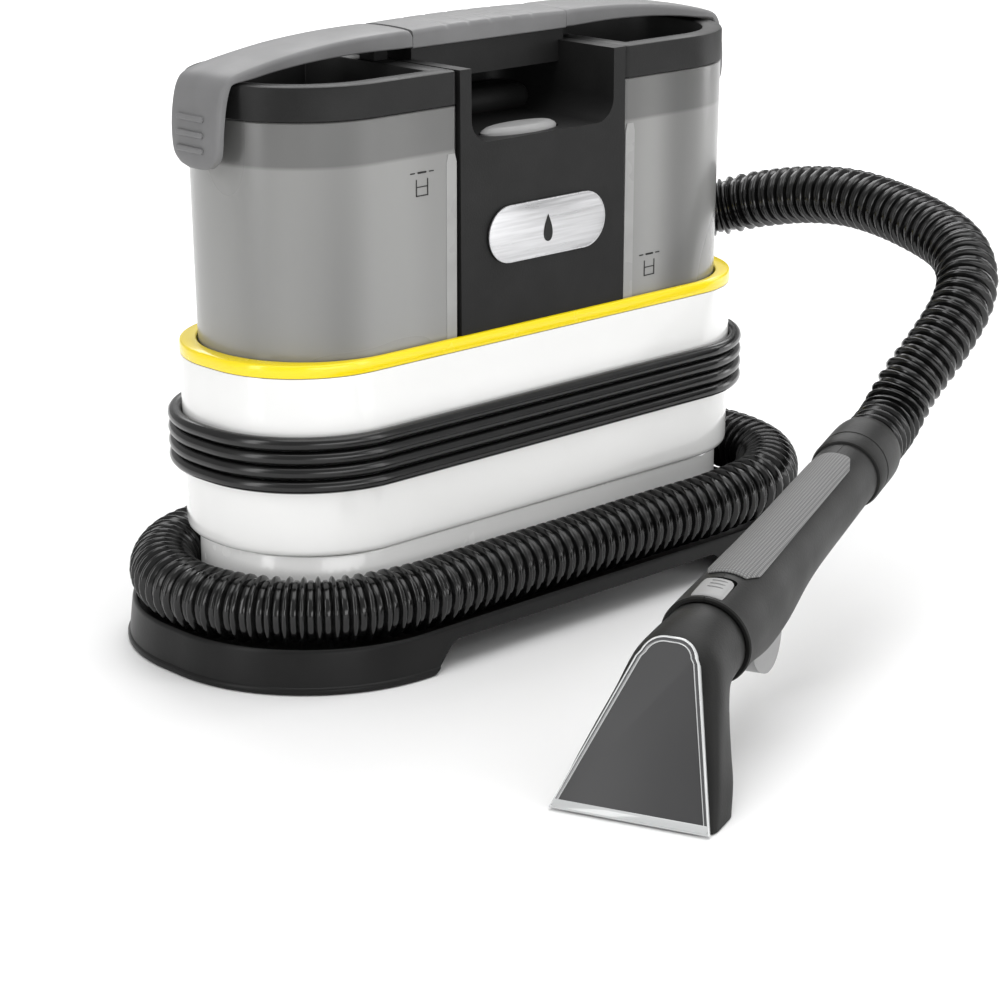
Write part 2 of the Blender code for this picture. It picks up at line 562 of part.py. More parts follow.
# ---- hose, cord and what holds them -----------------------------------------
def hose_route():
    """Out of the port, once round the base, up behind the tanks and over to the hand tool."""
    route = [(HOSE_START_X, WRAP_RADIUS, WRAP_Z)]
    for step, (swell, rise) in enumerate(RIGHT_BULGE):
        turn = math.radians(90 - 30 * step)
        reach = WRAP_RADIUS + swell
        route.append((WRAP_HALF_STRAIGHT + reach * math.cos(turn), reach * math.sin(turn),
                      WRAP_Z + rise))
    route += [(0.070, -WRAP_RADIUS - 0.001, WRAP_Z + 0.001), (0.0, -WRAP_RADIUS, WRAP_Z),
              (-0.070, -WRAP_RADIUS, WRAP_Z)]
    for step in range(7):
        turn = math.radians(270 - 30 * step)
        route.append((-WRAP_HALF_STRAIGHT + WRAP_RADIUS * math.cos(turn),
                      WRAP_RADIUS * math.sin(turn), WRAP_Z))
    route += [(-0.085, 0.0845, 0.0430), (-0.050, 0.0890, 0.0540), (-0.010, 0.0940, 0.0750),
              (0.035, 0.0960, 0.1010), (0.080, 0.0960, 0.1260), (0.125, 0.0960, 0.1470),
              (0.165, 0.0960, 0.1600), (0.205, 0.0950, 0.1650), (0.238, 0.0925, 0.1675),
              (0.266, 0.0835, 0.1685), (0.286, 0.0670, 0.1710), (0.297, 0.0440, 0.1780),
              (0.302, 0.0080, 0.1855), (0.302, -0.0290, 0.1887), (0.298, -0.0680, 0.1862),
              (0.288, -0.1100, 0.1800), (0.278, -0.1340, 0.1732), (0.265, -0.1500, 0.1632),
              (0.2523, -0.1573, 0.1526), (0.2385, -0.1604, 0.1420), (0.2199, -0.1617, 0.1280),
              (0.2013, -0.1610, 0.1134), (0.1881, -0.1616, 0.1010), (0.1753, -0.1649, 0.0934),
              (0.1617, -0.1698, 0.0905), (0.1524, -0.1735, 0.0893), (0.1434, -0.1770, 0.0881)]
    return route


def build_hose(frame):
    route = hose_route()
    points = smooth_path(route[:-1], 0.0215) + [route[-1]]
    hose = tube("suction_hose", points, HOSE_RADIUS, 3)
    finish(hose, "rubber", frame)

    low, high = PORT_X - 0.024, HOSE_START_X - GAP
    port = rod("hose_port", (low, WRAP_RADIUS, 0.0400), (high, WRAP_RADIUS, 0.0400), 0.0188)
    lug = rod("port_spigot", (PORT_X, 0.0575, 0.0400), (PORT_X, 0.0800, 0.0400), 0.0120)
    combine(port, lug, "UNION")
    flange = box("port_flange", (PORT_X - 0.018, 0.0634, 0.0245), (PORT_X + 0.018, 0.0720, 0.0555))
    combine(port, flange, "UNION")
    combine(port, rod("port_bore", (low + 0.004, WRAP_RADIUS, 0.0400),
                      (high + 0.01, WRAP_RADIUS, 0.0400), 0.0150))
    finish(port, "charcoal", frame)

    cradle = arc(0.0, 0.0, 0.0220, 170, 285, 10) + arc(0.0, 0.0, 0.0191, 285, 170, 10)
    clip = prism("hose_clip", cradle, -0.007, 0.007, "X")
    clip.data.transform(Matrix.Translation((0.1000, 0.0960, 0.1358))
                        @ Matrix.Rotation(math.radians(-26), 4, "Y"))
    combine(clip, box("clip_block", (0.0935, 0.0657, 0.1335), (0.1065, 0.0755, 0.1500)), "UNION")
    finish(clip, "charcoal", frame)


def build_cord(frame):
    gland = box("cable_gland", (-0.1180, 0.0682, 0.0800), (-0.0900, 0.0798, 0.0960))
    sleeve = rod("gland_sleeve", (-0.0910, GLAND_Y, GLAND_Z), (-0.0650, GLAND_Y, GLAND_Z),
                 0.0057, 0.0043, sides=20)
    combine(gland, sleeve, "UNION")
    finish(gland, "rubber", frame)
    lead = [(-0.0646, GLAND_Y, GLAND_Z), (-0.045, GLAND_Y, 0.0883), (-0.015, 0.0733, 0.0905),
            (0.015, 0.0724, 0.0940), (0.035, 0.0718, 0.0963), (0.050, 0.0715, 0.0968)]
    finish(tube("cord_lead", smooth_path(lead, 0.012), CORD_RADIUS), "rubber", frame)
    winding = loft("cord_winding", [
        oval(0.3710, 0.1352, 0.0635, WIND_LOW), oval(0.3860, 0.1502, 0.0710, WIND_LOW),
        oval(0.3860, 0.1474, 0.0685, WIND_TOP), oval(0.3710, 0.1324, 0.0610, WIND_TOP)],
        ring_shaped=True)
    finish(winding, "rubber", frame)
    tail = [(-0.112, 0.0704, 0.1361), (-0.098, 0.0706, 0.1380), (-0.084, 0.0718, 0.1425),
            (-0.0765, 0.0736, 0.1480), (-0.0700, 0.0748, 0.1505), (-0.0634, 0.0750, 0.1510)]
    finish(tube("cord_tail", smooth_path(tail, 0.009), CORD_RADIUS), "rubber", frame)
    build_plug(frame)


def build_plug(frame):
    """A moulded two-pin mains plug that lies on the winding, its pins along +X."""
    y, z = 0.0750, 0.1510
    plug = rod("power_plug", (-0.0626, y, z), (-0.0450, y, z), 0.0045, 0.0070, sides=20)
    body = outline(-0.0460, -0.0160, 0.0165, 0.0100, 0.0040, 0.0)
    body = [(point.x, z + point.y) for point in body]
    combine(plug, prism("plug_body", body, y - 0.0078, y + 0.0078, "Y"), "UNION")
    for number, offset in enumerate((-0.0095, 0.0095), 1):
        pin = rod(f"plug_pin_{number}", (-0.020, y, z + offset), (0.0030, y, z + offset),
                  0.0024, sides=16)
        combine(plug, pin, "UNION")
    finish(plug, "rubber", frame)


# ---- hand tool --------------------------------------------------------------
def axis_z(x):
    return AXIS_FOOT[1] + (x - AXIS_FOOT[0]) * math.tan(TOOL_PITCH)


def tool_section(x, up, down, half, power=2.0, count=28):
    """A cross-section square to the tool's axis, fuller above or below it as asked."""
    across = Vector((0, 1, 0))
    rise = Vector((-math.sin(TOOL_PITCH), 0, math.cos(TOOL_PITCH)))
    centre = Vector((x, 0, axis_z(x)))
    ring = []
    for i in range(count):
        turn = 2 * math.pi * i / count
        c, s = math.cos(turn), math.sin(turn)
        reach = (abs(c) ** power + abs(s) ** power) ** (-1 / power)
        ring.append(centre + across * (half * c * reach)
                    + rise * ((up if s > 0 else down) * s * reach))
    return ring


def grip_sections(inset):
    shape = ((0.0985, 0.0240, 0.0240, 0.0240), (0.1120, 0.0238, 0.0250, 0.0236),
             (0.1300, 0.0232, 0.0290, 0.0228), (0.1500, 0.0225, 0.0335, 0.0220),
             (0.1750, 0.0215, 0.0330, 0.0210), (0.2000, 0.0208, 0.0245, 0.0205),
             (0.2250, 0.0203, 0.0210, 0.0200), (0.2700, 0.0196, 0.0198, 0.0195),
             (GRIP_END, 0.0190, 0.0190, 0.0190))
    return [tool_section(x, up - inset, down - inset, half - inset)
            for x, up, down, half in shape]


def build_grip(frame):
    for name, side in (("grip_left", 1), ("grip_right", -1)):
        shell = loft(name, grip_sections(0.0))
        inside = grip_sections(0.0025)
        first = [point + (inside[0][i] - inside[1][i]) for i, point in enumerate(inside[0])]
        last = [point + (inside[-1][i] - inside[-2][i]) for i, point in enumerate(inside[-1])]
        combine(shell, loft(f"{name}_inside", [first] + inside + [last]))
        away = sorted((-side * 0.05, side * 0.00015))
        combine(shell, box(f"{name}_half", (0.05, away[0], -0.02), (0.40, away[1], 0.15)))
        combine(shell, box(f"{name}_trigger_slot", (0.1465, -0.0088, 0.000), (0.1935, 0.0088, 0.0480)))
        combine(shell, box(f"{name}_button_slot", (0.1005, -0.0083, 0.0770), (0.1215, 0.0083, 0.1)))
        finish(shell, "charcoal", frame)

    button = prism("release_button", outline(-0.0100, 0.0100, 0.0078, 0.003, 0.003, 0.0),
                   -0.0006, 0.0015)
    button.data.transform(Matrix.Translation((BUTTON_AT, 0.0, axis_z(BUTTON_AT) + 0.0237))
                          @ Matrix.Rotation(-TOOL_PITCH, 4, "Y"))
    finish(button, "pale_grey", frame, (BUTTON_AT, 0.0, axis_z(BUTTON_AT) + 0.0237))

    lever = [(0.1490, 0.0400), (0.1490, 0.0310), (0.1560, 0.0235), (0.1650, 0.0190),
             (0.1730, 0.0175), (0.1810, 0.0195), (0.1870, 0.0250), (0.1905, 0.0330),
             (0.1905, 0.0410)]
    trigger = prism("spray_trigger", lever, -0.0080, 0.0080, "Y")
    pivot = (TRIGGER_PIVOT[0], 0.0, TRIGGER_PIVOT[1])
    combine(trigger, rod("trigger_bore", (pivot[0], -0.02, pivot[2]), (pivot[0], 0.02, pivot[2]),
                         0.0019, sides=16))
    finish(trigger, "pale_grey", frame, pivot)
    finish(rod("trigger_pin", (pivot[0], -0.0084, pivot[2]), (pivot[0], 0.0084, pivot[2]),
               0.0016, sides=16), "steel", frame)

    pad_rings = []
    for x, radius in ((0.1300, 0.0233), (0.1500, 0.0226), (0.1750, 0.0215), (0.2000, 0.0208),
                      (0.2250, 0.0203), (0.2700, 0.0196), (0.2970, 0.0192)):
        outer = tool_section(x, radius + 0.0017, radius, radius + 0.0002, count=72)
        inner = tool_section(x, radius + 0.0004, radius, radius + 0.0002, count=72)
        low, high = 11, 26
        pad_rings.append(outer[low:high] + list(reversed(inner[low:high])))
    finish(loft("grip_pad", pad_rings), "grey", frame)


def axis_tube(name, stations):
    """A hollow turned piece on the tool's axis, from (x, outer, inner) stations."""
    rings = [tool_section(x, outer, outer, outer) for x, outer, _ in stations]
    rings += [tool_section(x, inner, inner, inner) for x, _, inner in reversed(stations)]
    return loft(name, rings, ring_shaped=True)


def build_tool_pipes(frame):
    pipe = axis_tube("suction_pipe", [(0.1000, PIPE_RADIUS, 0.0112), (GRIP_END, PIPE_RADIUS, 0.0112)])
    finish(pipe, "inner", frame)
    cuff = axis_tube("hose_cuff", [(GRIP_END + GAP, 0.0202, 0.0120), (0.3150, CUFF_RADIUS, 0.0120),
                                   (0.3420, CUFF_RADIUS, 0.0120), (0.3475, 0.0205, 0.0120),
                                   (CUFF_END, 0.0200, 0.0120)])
    finish(cuff, "charcoal", frame)
    valve = rod("spray_valve", (0.1560, 0, 0.0490), (0.1930, 0, 0.0515), 0.0026, sides=16)
    finish(valve, "brass", frame)
    tip = rod("spray_tip", (0.1010, 0, 0.0270), (0.1170, 0, 0.0300), 0.0030, 0.0045, sides=20)
    finish(tip, "charcoal", frame)


def neck_ends(x, radius):
    """The top and bottom of a circle square to the tool's axis, as (x, z) pairs."""
    rise = (radius * math.sin(TOOL_PITCH), radius * math.cos(TOOL_PITCH))
    return ((x - rise[0], axis_z(x) + rise[1]), (x + rise[0], axis_z(x) - rise[1]))


def nozzle_sections(inset):
    """Rings from the flat mouth on the floor up to the round neck on the tool's axis."""
    stations = (((0.0035, 0.0004), (0.0340, 0.0004), 0.0415, 7.0),
                ((0.0144, 0.0150), (0.0460, 0.0120), 0.0380, 6.0),
                ((0.0276, 0.0330), (0.0570, 0.0220), 0.0330, 4.5),
                ((0.0415, 0.0520), (0.0690, 0.0300), 0.0280, 3.2),
                ((0.0545, 0.0700), (0.0790, 0.0345), 0.0242, 2.6),
                ((0.0720, 0.0765), (0.0860, 0.0350), 0.0222, 2.2),
                (*neck_ends(0.0930, NECK_RADIUS), NECK_RADIUS, 2.0),
                (*neck_ends(0.0970, NECK_RADIUS), NECK_RADIUS, 2.0),
                (*neck_ends(0.0972, SPIGOT_RADIUS), SPIGOT_RADIUS, 2.0),
                (*neck_ends(0.1080, SPIGOT_RADIUS), SPIGOT_RADIUS, 2.0),
                (*neck_ends(0.1120, SPIGOT_RADIUS), SPIGOT_RADIUS, 2.0))
    rings = []
    for front, back, half, power in stations:
        front, back = Vector((front[0], 0, front[1])), Vector((back[0], 0, back[1]))
        centre, reach = (front + back) / 2, (front - back) / 2
        reach *= (reach.length - inset) / reach.length
        ring = []
        for i in range(28):
            turn = 2 * math.pi * i / 28
            c, s = math.cos(turn), math.sin(turn)
            scale = (abs(c) ** power + abs(s) ** power) ** (-1 / power)
            ring.append(centre + Vector((0, (half - inset) * c * scale, 0)) + reach * s * scale)
        rings.append(ring)
    return rings


def build_nozzle(frame):
    rings = nozzle_sections(0.0)
    body = loft("nozzle_body", rings[:-1])
    inside = nozzle_sections(0.0028)
    mouth = [point + (point - above) * 0.3 for point, above in zip(inside[0], inside[1])]
    combine(body, loft("nozzle_inside", [mouth] + inside[1:6] + [inside[-1]]))
    origin = (AXIS_FOOT[0], 0.0, AXIS_FOOT[1])
    finish(body, "charcoal", frame, origin)

    length = math.hypot(WINDOW_RUN, WINDOW_RISE)
    corner = 0.012
    shape = [(-WINDOW_LOW_HALF, 0.0), (WINDOW_LOW_HALF, 0.0)]
    shape += [(WINDOW_TOP_HALF + 0.0015, length - corner)]
    shape += arc(WINDOW_TOP_HALF - corner, length - corner, corner, 15, 90, 4)
    shape += [(-x, y) for x, y in reversed(shape[2:])]
    window = prism("nozzle_window", shape, -WINDOW_THICK, 0.0)
    slope = math.atan2(WINDOW_RISE, WINDOW_RUN)
    up = Vector((math.cos(slope), 0, math.sin(slope)))
    out = Vector((-math.sin(slope), 0, math.cos(slope)))
    side = Vector((0, 1, 0))
    turn = Matrix((side, up, -out)).transposed().to_4x4()
    window.data.transform(turn @ Matrix.Scale(-1, 4, (0, 0, 1)))
    window.data.transform(Matrix.Translation((0.0012, 0, 0.0016)))
    bm = bmesh.new()
    bm.from_mesh(window.data)
    bmesh.ops.recalc_face_normals(bm, faces=bm.faces)
    bm.to_mesh(window.data)
    bm.free()
    finish(window, "clear", frame, origin)


def add_frame(name, place, heading=0.0):
    frame = bpy.data.objects.new(name, None)
    frame.location = place
    frame.rotation_euler = (0.0, 0.0, heading)
    PARTS.objects.link(frame)
    return frame


def build():
    machine = add_frame("machine", (0.0, MACHINE_Y, 0.0))
    tool = add_frame("tool", TOOL_PLACE, TOOL_HEADING)
    build_base(machine)
    build_shell(machine)
    build_tower(machine)
    build_tank(-1, "fresh", machine)
    build_tank(1, "dirty", machine)
    build_tank_fittings(machine)
    build_drive(machine)
    build_hose(machine)
    build_cord(machine)
    build_grip(tool)
    build_tool_pipes(tool)
    build_nozzle(tool)


clear_scene()
PARTS = new_collection(PART_NAME)
CUTTERS = new_collection("cutters")
build()
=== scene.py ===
"""The look of a compact spot cleaner: shells, tanks, hose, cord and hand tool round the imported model."""
import math

import bmesh
import bpy
from mathutils import Matrix, Vector


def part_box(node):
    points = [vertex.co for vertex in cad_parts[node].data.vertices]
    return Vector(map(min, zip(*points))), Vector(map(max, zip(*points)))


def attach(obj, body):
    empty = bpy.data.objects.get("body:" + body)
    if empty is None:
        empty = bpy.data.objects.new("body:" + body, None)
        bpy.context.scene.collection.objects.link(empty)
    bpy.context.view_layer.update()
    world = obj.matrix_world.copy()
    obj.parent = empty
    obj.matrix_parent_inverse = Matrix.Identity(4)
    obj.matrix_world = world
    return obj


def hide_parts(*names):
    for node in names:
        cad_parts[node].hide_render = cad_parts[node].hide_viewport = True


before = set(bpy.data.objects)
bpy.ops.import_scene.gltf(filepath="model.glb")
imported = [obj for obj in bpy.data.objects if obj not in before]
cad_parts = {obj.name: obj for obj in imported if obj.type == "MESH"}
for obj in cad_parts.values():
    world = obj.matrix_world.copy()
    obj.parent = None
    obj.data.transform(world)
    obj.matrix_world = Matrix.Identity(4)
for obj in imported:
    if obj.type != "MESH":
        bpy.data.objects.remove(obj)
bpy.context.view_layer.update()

# ---- places, in metres, in the frame's coordinates --------------------------
MACHINE_Y = sum(corner[1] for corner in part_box("main_shell")) / 2
MACHINE = Matrix.Translation((0.0, MACHINE_Y, 0.0))
CAMERA_AT = Vector((-1.0419, -1.1294, 0.5367))
CAMERA_DOWN, CAMERA_TURN = math.radians(17.462), math.radians(-43.879)
TOOL_HEADING = math.radians(21.5)
TOOL_PITCH = math.radians(6.8)
TOOL = Matrix.Translation((-0.184, -0.185, 0.0)) @ Matrix.Rotation(TOOL_HEADING, 4, "Z")
TOOL_RISE = Vector((-math.sin(TOOL_PITCH), 0, math.cos(TOOL_PITCH)))
AXIS_X, AXIS_Z = 0.0985, 0.0579         # the tool's axis at its collar
# drawing planes that face the side, with their X along the machine or the tool and Y up
UPRIGHT = MACHINE @ Matrix.Rotation(math.pi / 2, 4, "X")
TOOL_UPRIGHT = TOOL @ Matrix.Rotation(math.pi / 2, 4, "X")

HOSE_RADIUS = 0.0185
HOSE_PITCH = 0.0078
HOSE_SIDES = 24
# how far the skin lies below the crests along one pitch: a round rib, then a flat band
RIB_PROFILE = (0.0034, 0.0012, 0.0001, 0.0001, 0.0012, 0.0034, 0.0022, 0.0021, 0.0021, 0.0022)
WRAP_HALF_STRAIGHT, WRAP_RADIUS, WRAP_Z = 0.117, 0.0834, 0.0395
HOSE_START_X = 0.0924
# how far the hose swells out and up round the right end, every 30 degrees from the rear
RIGHT_BULGE = ((0.0, 0.0), (0.003, 0.0025), (0.008, 0.0047), (0.012, 0.0052), (0.014, 0.0052),
               (0.010, 0.0047), (0.003, 0.0022))
CORD_RADIUS = 0.00375
CORD_PITCH = 0.00775
CORD_LOW = 0.10485
CORD_TURNS = 4

POWER_BUTTON_AT = (-0.005, -0.0465)
BADGE_X, BADGE_Z = 0.001, 0.220
HINGE_X, HINGE_Z = 0.0655, 0.3262       # the latch arms' pins, out from the middle

# how dark the tank wall is where the lid's skirt lies behind it, and the heights of its edge
SKIRT_SHADE, SKIRT_EDGE = 0.52, (0.2690, 0.2712)

SMOOTH_ANGLE = math.radians(38)
RIM_SMOOTH_ANGLE = math.radians(25)
HOSE_SMOOTH_ANGLE = math.radians(60)


# ---- small helpers ----------------------------------------------------------
def add_object(name, mesh, smooth=SMOOTH_ANGLE):
    item = bpy.data.objects.new(name, mesh)
    bpy.context.scene.collection.objects.link(item)
    if smooth:
        mesh.shade_smooth()
        mesh.set_sharp_from_angle(angle=smooth)
    return item


def from_bmesh(name, bm, place=None, smooth=SMOOTH_ANGLE):
    bmesh.ops.recalc_face_normals(bm, faces=bm.faces)
    mesh = bpy.data.meshes.new(name)
    bm.to_mesh(mesh)
    bm.free()
    if place:
        mesh.transform(place)
    return add_object(name, mesh, smooth)


def piece(item, body, material, nodes=()):
    """Ride on a body, stand for CAD nodes, and take a material."""
    if item.type == "MESH":
        item.data.materials.clear()
    item.data.materials.append(material)
    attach(item, body)
    if nodes:
        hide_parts(*nodes)
    return item


def outline(low, high, half, low_radius, high_radius, z, steps=20):
    """A level oblong from low to high in X, with its own corner radius at each end."""
    corners = ((high, -1, high_radius, -90), (high, 1, high_radius, 0),
               (low, 1, low_radius, 90), (low, -1, low_radius, 180))
    points = []
    for x, side, radius, start in corners:
        centre_x = x - radius if x == high else x + radius
        for step in range(steps + 1):
            turn = math.radians(start + 90 * step / steps)
            points.append(Vector((centre_x + radius * math.cos(turn),
                                  side * (half - radius) + radius * math.sin(turn), z)))
    return points


def oval(length, width, radius, z):
    return outline(-length / 2, length / 2, width / 2, radius, radius, z, 28)


def circle(x, y, radius_x, radius_y, count):
    """A flat circle or ellipse as pairs."""
    return [(x + radius_x * math.cos(a), y + radius_y * math.sin(a))
            for a in (2 * math.pi * i / count for i in range(count))]


def loft(name, rings, place=MACHINE, ring_shaped=False, smooth=SMOOTH_ANGLE):
    """A skin over rings of points, capped at both ends or closed on itself."""
    bm = bmesh.new()
    loops = [[bm.verts.new(point) for point in ring] for ring in rings]
    count = len(loops[0])
    pairs = list(zip(loops, loops[1:]))
    if ring_shaped:
        pairs.append((loops[-1], loops[0]))
    else:
        bm.faces.new(list(reversed(loops[0])))
        bm.faces.new(loops[-1])
    for low, high in pairs:
        for i in range(count):
            j = (i + 1) % count
            bm.faces.new((low[i], low[j], high[j], high[i]))
    return from_bmesh(name, bm, place, smooth)


def lifted(*levels):
    """Flat outlines, each put at its own height."""
    return [[(x, y, z) for x, y in shape] for shape, z in levels]


def oval_loft(name, levels, ring_shaped=False):
    """A skin over ovals, each given by its length, width, corner radius and height."""
    return loft(name, [oval(*level) for level in levels], ring_shaped=ring_shaped)


def arc(centre_x, centre_y, radius, start, end, steps):
    points = []
    for step in range(steps + 1):
        turn = math.radians(start + (end - start) * step / steps)
        points.append((centre_x + radius * math.cos(turn), centre_y + radius * math.sin(turn)))
    return points


def slab(name, points, low, high, place, bevel=0.0, segments=3):
    """A flat outline in XY extruded from low to high, with its rims rounded."""
    bm = bmesh.new()
    bottom = [bm.verts.new((x, y, low)) for x, y in points]
    top = [bm.verts.new((x, y, high)) for x, y in points]
    bm.faces.new(list(reversed(bottom)))
    bm.faces.new(top)
    for i in range(len(points)):
        j = (i + 1) % len(points)
        bm.faces.new((bottom[i], bottom[j], top[j], top[i]))
    if bevel:
        rims = [e for e in bm.edges if e.verts[0].co.z == e.verts[1].co.z]
        bmesh.ops.bevel(bm, geom=rims, offset=bevel, segments=segments, profile=0.5,
                        affect="EDGES", clamp_overlap=True)
    return from_bmesh(name, bm, place)


def block(name, low, high, place=MACHINE, bevel=0.0, segments=4):
    bm = bmesh.new()
    bmesh.ops.create_cube(bm, size=1.0)
    size = Vector(high) - Vector(low)
    bmesh.ops.scale(bm, vec=size, verts=bm.verts)
    bmesh.ops.translate(bm, vec=(Vector(high) + Vector(low)) / 2, verts=bm.verts)
    if bevel:
        bmesh.ops.bevel(bm, geom=bm.edges[:], offset=bevel, segments=segments, profile=0.5,
                        affect="EDGES", clamp_overlap=True)
    return from_bmesh(name, bm, place)


def bake_modifiers(item):
    """Keep what the modifiers make as the piece's own mesh."""
    bpy.context.view_layer.update()
    graph = bpy.context.evaluated_depsgraph_get()
    mesh = bpy.data.meshes.new_from_object(item.evaluated_get(graph))
    item.modifiers.clear()
    item.data = mesh


def boolean(item, other, operation="DIFFERENCE"):
    """Cut or join at once, and remove the other shape."""
    modifier = item.modifiers.new("cut", "BOOLEAN")
    modifier.operation = operation
    modifier.object = other
    bake_modifiers(item)
    bpy.data.objects.remove(other, do_unlink=True)


def soften(item, width, angle):
    """Round the edges of a piece that are sharper than an angle."""
    bevel = item.modifiers.new("soften", "BEVEL")
    bevel.width = width
    bevel.segments = 2
    bevel.limit_method = "ANGLE"
    bevel.angle_limit = math.radians(angle)
    return bevel


def catmull(route, fine=20):
    """Points of a smooth curve through tuples of any length."""
    size = len(route[0])
    ends = [tuple(2 * a - b for a, b in zip(route[0], route[1]))] + list(route)
    ends.append(tuple(2 * a - b for a, b in zip(route[-1], route[-2])))
    points = []
    for before, start, end, after in zip(ends, ends[1:], ends[2:], ends[3:]):
        for step in range(fine):
            t = step / fine
            points.append(tuple(
                0.5 * (2 * start[k] + (end[k] - before[k]) * t
                       + (2 * before[k] - 5 * start[k] + 4 * end[k] - after[k]) * t ** 2
                       + (3 * start[k] - before[k] - 3 * end[k] + after[k]) * t ** 3)
                for k in range(size)))
    points.append(tuple(route[-1]))
    return points


def even_path(route, spacing):
    """Points at even distances along the smooth curve through a route."""
    fine = [Vector(point) for point in catmull(route)]
    lengths = [0.0]
    for start, end in zip(fine, fine[1:]):
        lengths.append(lengths[-1] + (end - start).length)
    count = round(lengths[-1] / spacing)
    points, index = [], 0
    for number in range(count + 1):
        goal = lengths[-1] * number / count
        while index < len(fine) - 2 and lengths[index + 1] < goal:
            index += 1
        share = (goal - lengths[index]) / (lengths[index + 1] - lengths[index])
        points.append(fine[index].lerp(fine[index + 1], min(1.0, share)))
    return points


# ---- materials --------------------------------------------------------------
def shader_of(name, colour, roughness, metallic=0.0):
    material = bpy.data.materials.new(name)
    material.use_nodes = True
    tree = material.node_tree
    shader = tree.nodes["Principled BSDF"]
    shader.inputs["Base Color"].default_value = (*colour, 1.0)
    shader.inputs["Roughness"].default_value = roughness
    shader.inputs["Metallic"].default_value = metallic
    return material, tree, shader


def coordinates(tree, scale=(1.0, 1.0, 1.0)):
    place = tree.nodes.new("ShaderNodeTexCoord")
    mapping = tree.nodes.new("ShaderNodeMapping")
    mapping.inputs["Scale"].default_value = scale
    tree.links.new(place.outputs["Object"], mapping.inputs["Vector"])
    return mapping.outputs["Vector"]


def noise(tree, vector, scale, detail=3.0):
    node = tree.nodes.new("ShaderNodeTexNoise")
    node.inputs["Scale"].default_value = scale
    node.inputs["Detail"].default_value = detail
    tree.links.new(vector, node.inputs["Vector"])
    return node.outputs["Fac"]


def spread(tree, factor, low, high, from_low=0.3, from_high=0.7):
    node = tree.nodes.new("ShaderNodeMapRange")
    node.inputs["From Min"].default_value = from_low
    node.inputs["From Max"].default_value = from_high
    node.inputs["To Min"].default_value = low
    node.inputs["To Max"].default_value = high
    tree.links.new(factor, node.inputs["Value"])
    return node.outputs["Result"]


def colour_ramp(tree, factor, low, high, start, end):
    ramp = tree.nodes.new("ShaderNodeValToRGB")
    for stop, place, colour in zip(ramp.color_ramp.elements, (start, end), (low, high)):
        stop.position = place
        stop.color = (*colour, 1.0)
    tree.links.new(factor, ramp.inputs["Fac"])
    return ramp.outputs["Color"]


def vary_colour(tree, shader, factor, low, high):
    tree.links.new(colour_ramp(tree, factor, low, high, 0.35, 0.65), shader.inputs["Base Color"])


def vary_gloss(tree, shader, factor, low, high):
    tree.links.new(spread(tree, factor, low, high), shader.inputs["Roughness"])


def bump(tree, shader, height, strength, distance):
    node = tree.nodes.new("ShaderNodeBump")
    node.inputs["Strength"].default_value = strength
    node.inputs["Distance"].default_value = distance
    tree.links.new(height, node.inputs["Height"])
    tree.links.new(node.outputs["Normal"], shader.inputs["Normal"])


def scaled(colour, share):
    return tuple(channel * share for channel in colour)


def moulded(name, colour, roughness, grain=900.0, depth=0.35, tint=0.10):
    """Spark-eroded moulded plastic: a fine grain, a slight mottle and uneven gloss."""
    material, tree, shader = shader_of(name, colour, roughness)
    shader.inputs["Specular IOR Level"].default_value = 0.20
    vector = coordinates(tree)
    bump(tree, shader, noise(tree, vector, grain, 2.0), depth, 0.0002)
    vary_colour(tree, shader, noise(tree, vector, 45.0), scaled(colour, 1 - tint),
                scaled(colour, 1 + tint))
    vary_gloss(tree, shader, noise(tree, vector, 30.0), roughness - 0.05, roughness + 0.05)
    return material


def glossy(name, colour, roughness, coat=0.5, ripple=0.03, tint=0.02):
    """Polished plastic with a clear skin and the faint flow of a moulded shell."""
    material, tree, shader = shader_of(name, colour, roughness)
    shader.inputs["Coat Weight"].default_value = coat
    shader.inputs["Coat Roughness"].default_value = 0.06
    vector = coordinates(tree)
    bump(tree, shader, noise(tree, vector, 12.0, 1.0), ripple, 0.002)
    vary_colour(tree, shader, noise(tree, vector, 8.0), scaled(colour, 1 - tint),
                scaled(colour, 1 + tint))
    vary_gloss(tree, shader, noise(tree, vector, 60.0), roughness - 0.03, roughness + 0.03)
    return material


def brushed(name, colour, roughness, stretch):
    """Metal brushed along one direction."""
    material, tree, shader = shader_of(name, colour, roughness, 1.0)
    vector = coordinates(tree, stretch)
    streaks = noise(tree, vector, 600.0, 4.0)
    bump(tree, shader, streaks, 0.25, 0.0001)
    vary_colour(tree, shader, streaks, scaled(colour, 0.86), scaled(colour, 1.08))
    vary_gloss(tree, shader, streaks, roughness - 0.08, roughness + 0.10)
    return material


def smoked_with_painted_reflection(name, tint, alpha):
    """Smoked plastic of the tank walls: soft upright bands of painted reflection, darker where the lid's
    skirt is behind.
    """
    material, tree, shader = shader_of(name, tint, 0.30)
    shader.inputs["Alpha"].default_value = alpha
    shader.inputs["Coat Weight"].default_value = 0.4
    shader.inputs["Coat Roughness"].default_value = 0.12
    # painted reflection: soft upright bands lighter and darker than the wall's tint, standing in for the
    # studio lights reflected in the wall
    painted_reflection_bands = noise(tree, coordinates(tree, (1.0, 1.0, 0.04)), 26.0, 0.0)
    place = tree.nodes.new("ShaderNodeSeparateXYZ")
    tree.links.new(coordinates(tree), place.inputs["Vector"])
    skirt = spread(tree, place.outputs["Z"], 1.0, SKIRT_SHADE, *SKIRT_EDGE)
    with_reflection_bands = colour_ramp(tree, painted_reflection_bands, scaled(tint, 0.70), scaled(tint, 1.40), 0.25, 0.75)
    shade = tree.nodes.new("ShaderNodeVectorMath")
    shade.operation = "SCALE"
    tree.links.new(with_reflection_bands, shade.inputs["Vector"])
    tree.links.new(skirt, shade.inputs["Scale"])
    tree.links.new(shade.outputs["Vector"], shader.inputs["Base Color"])
    vary_gloss(tree, shader, noise(tree, coordinates(tree), 7.0, 0.0), 0.27, 0.33)
    return material


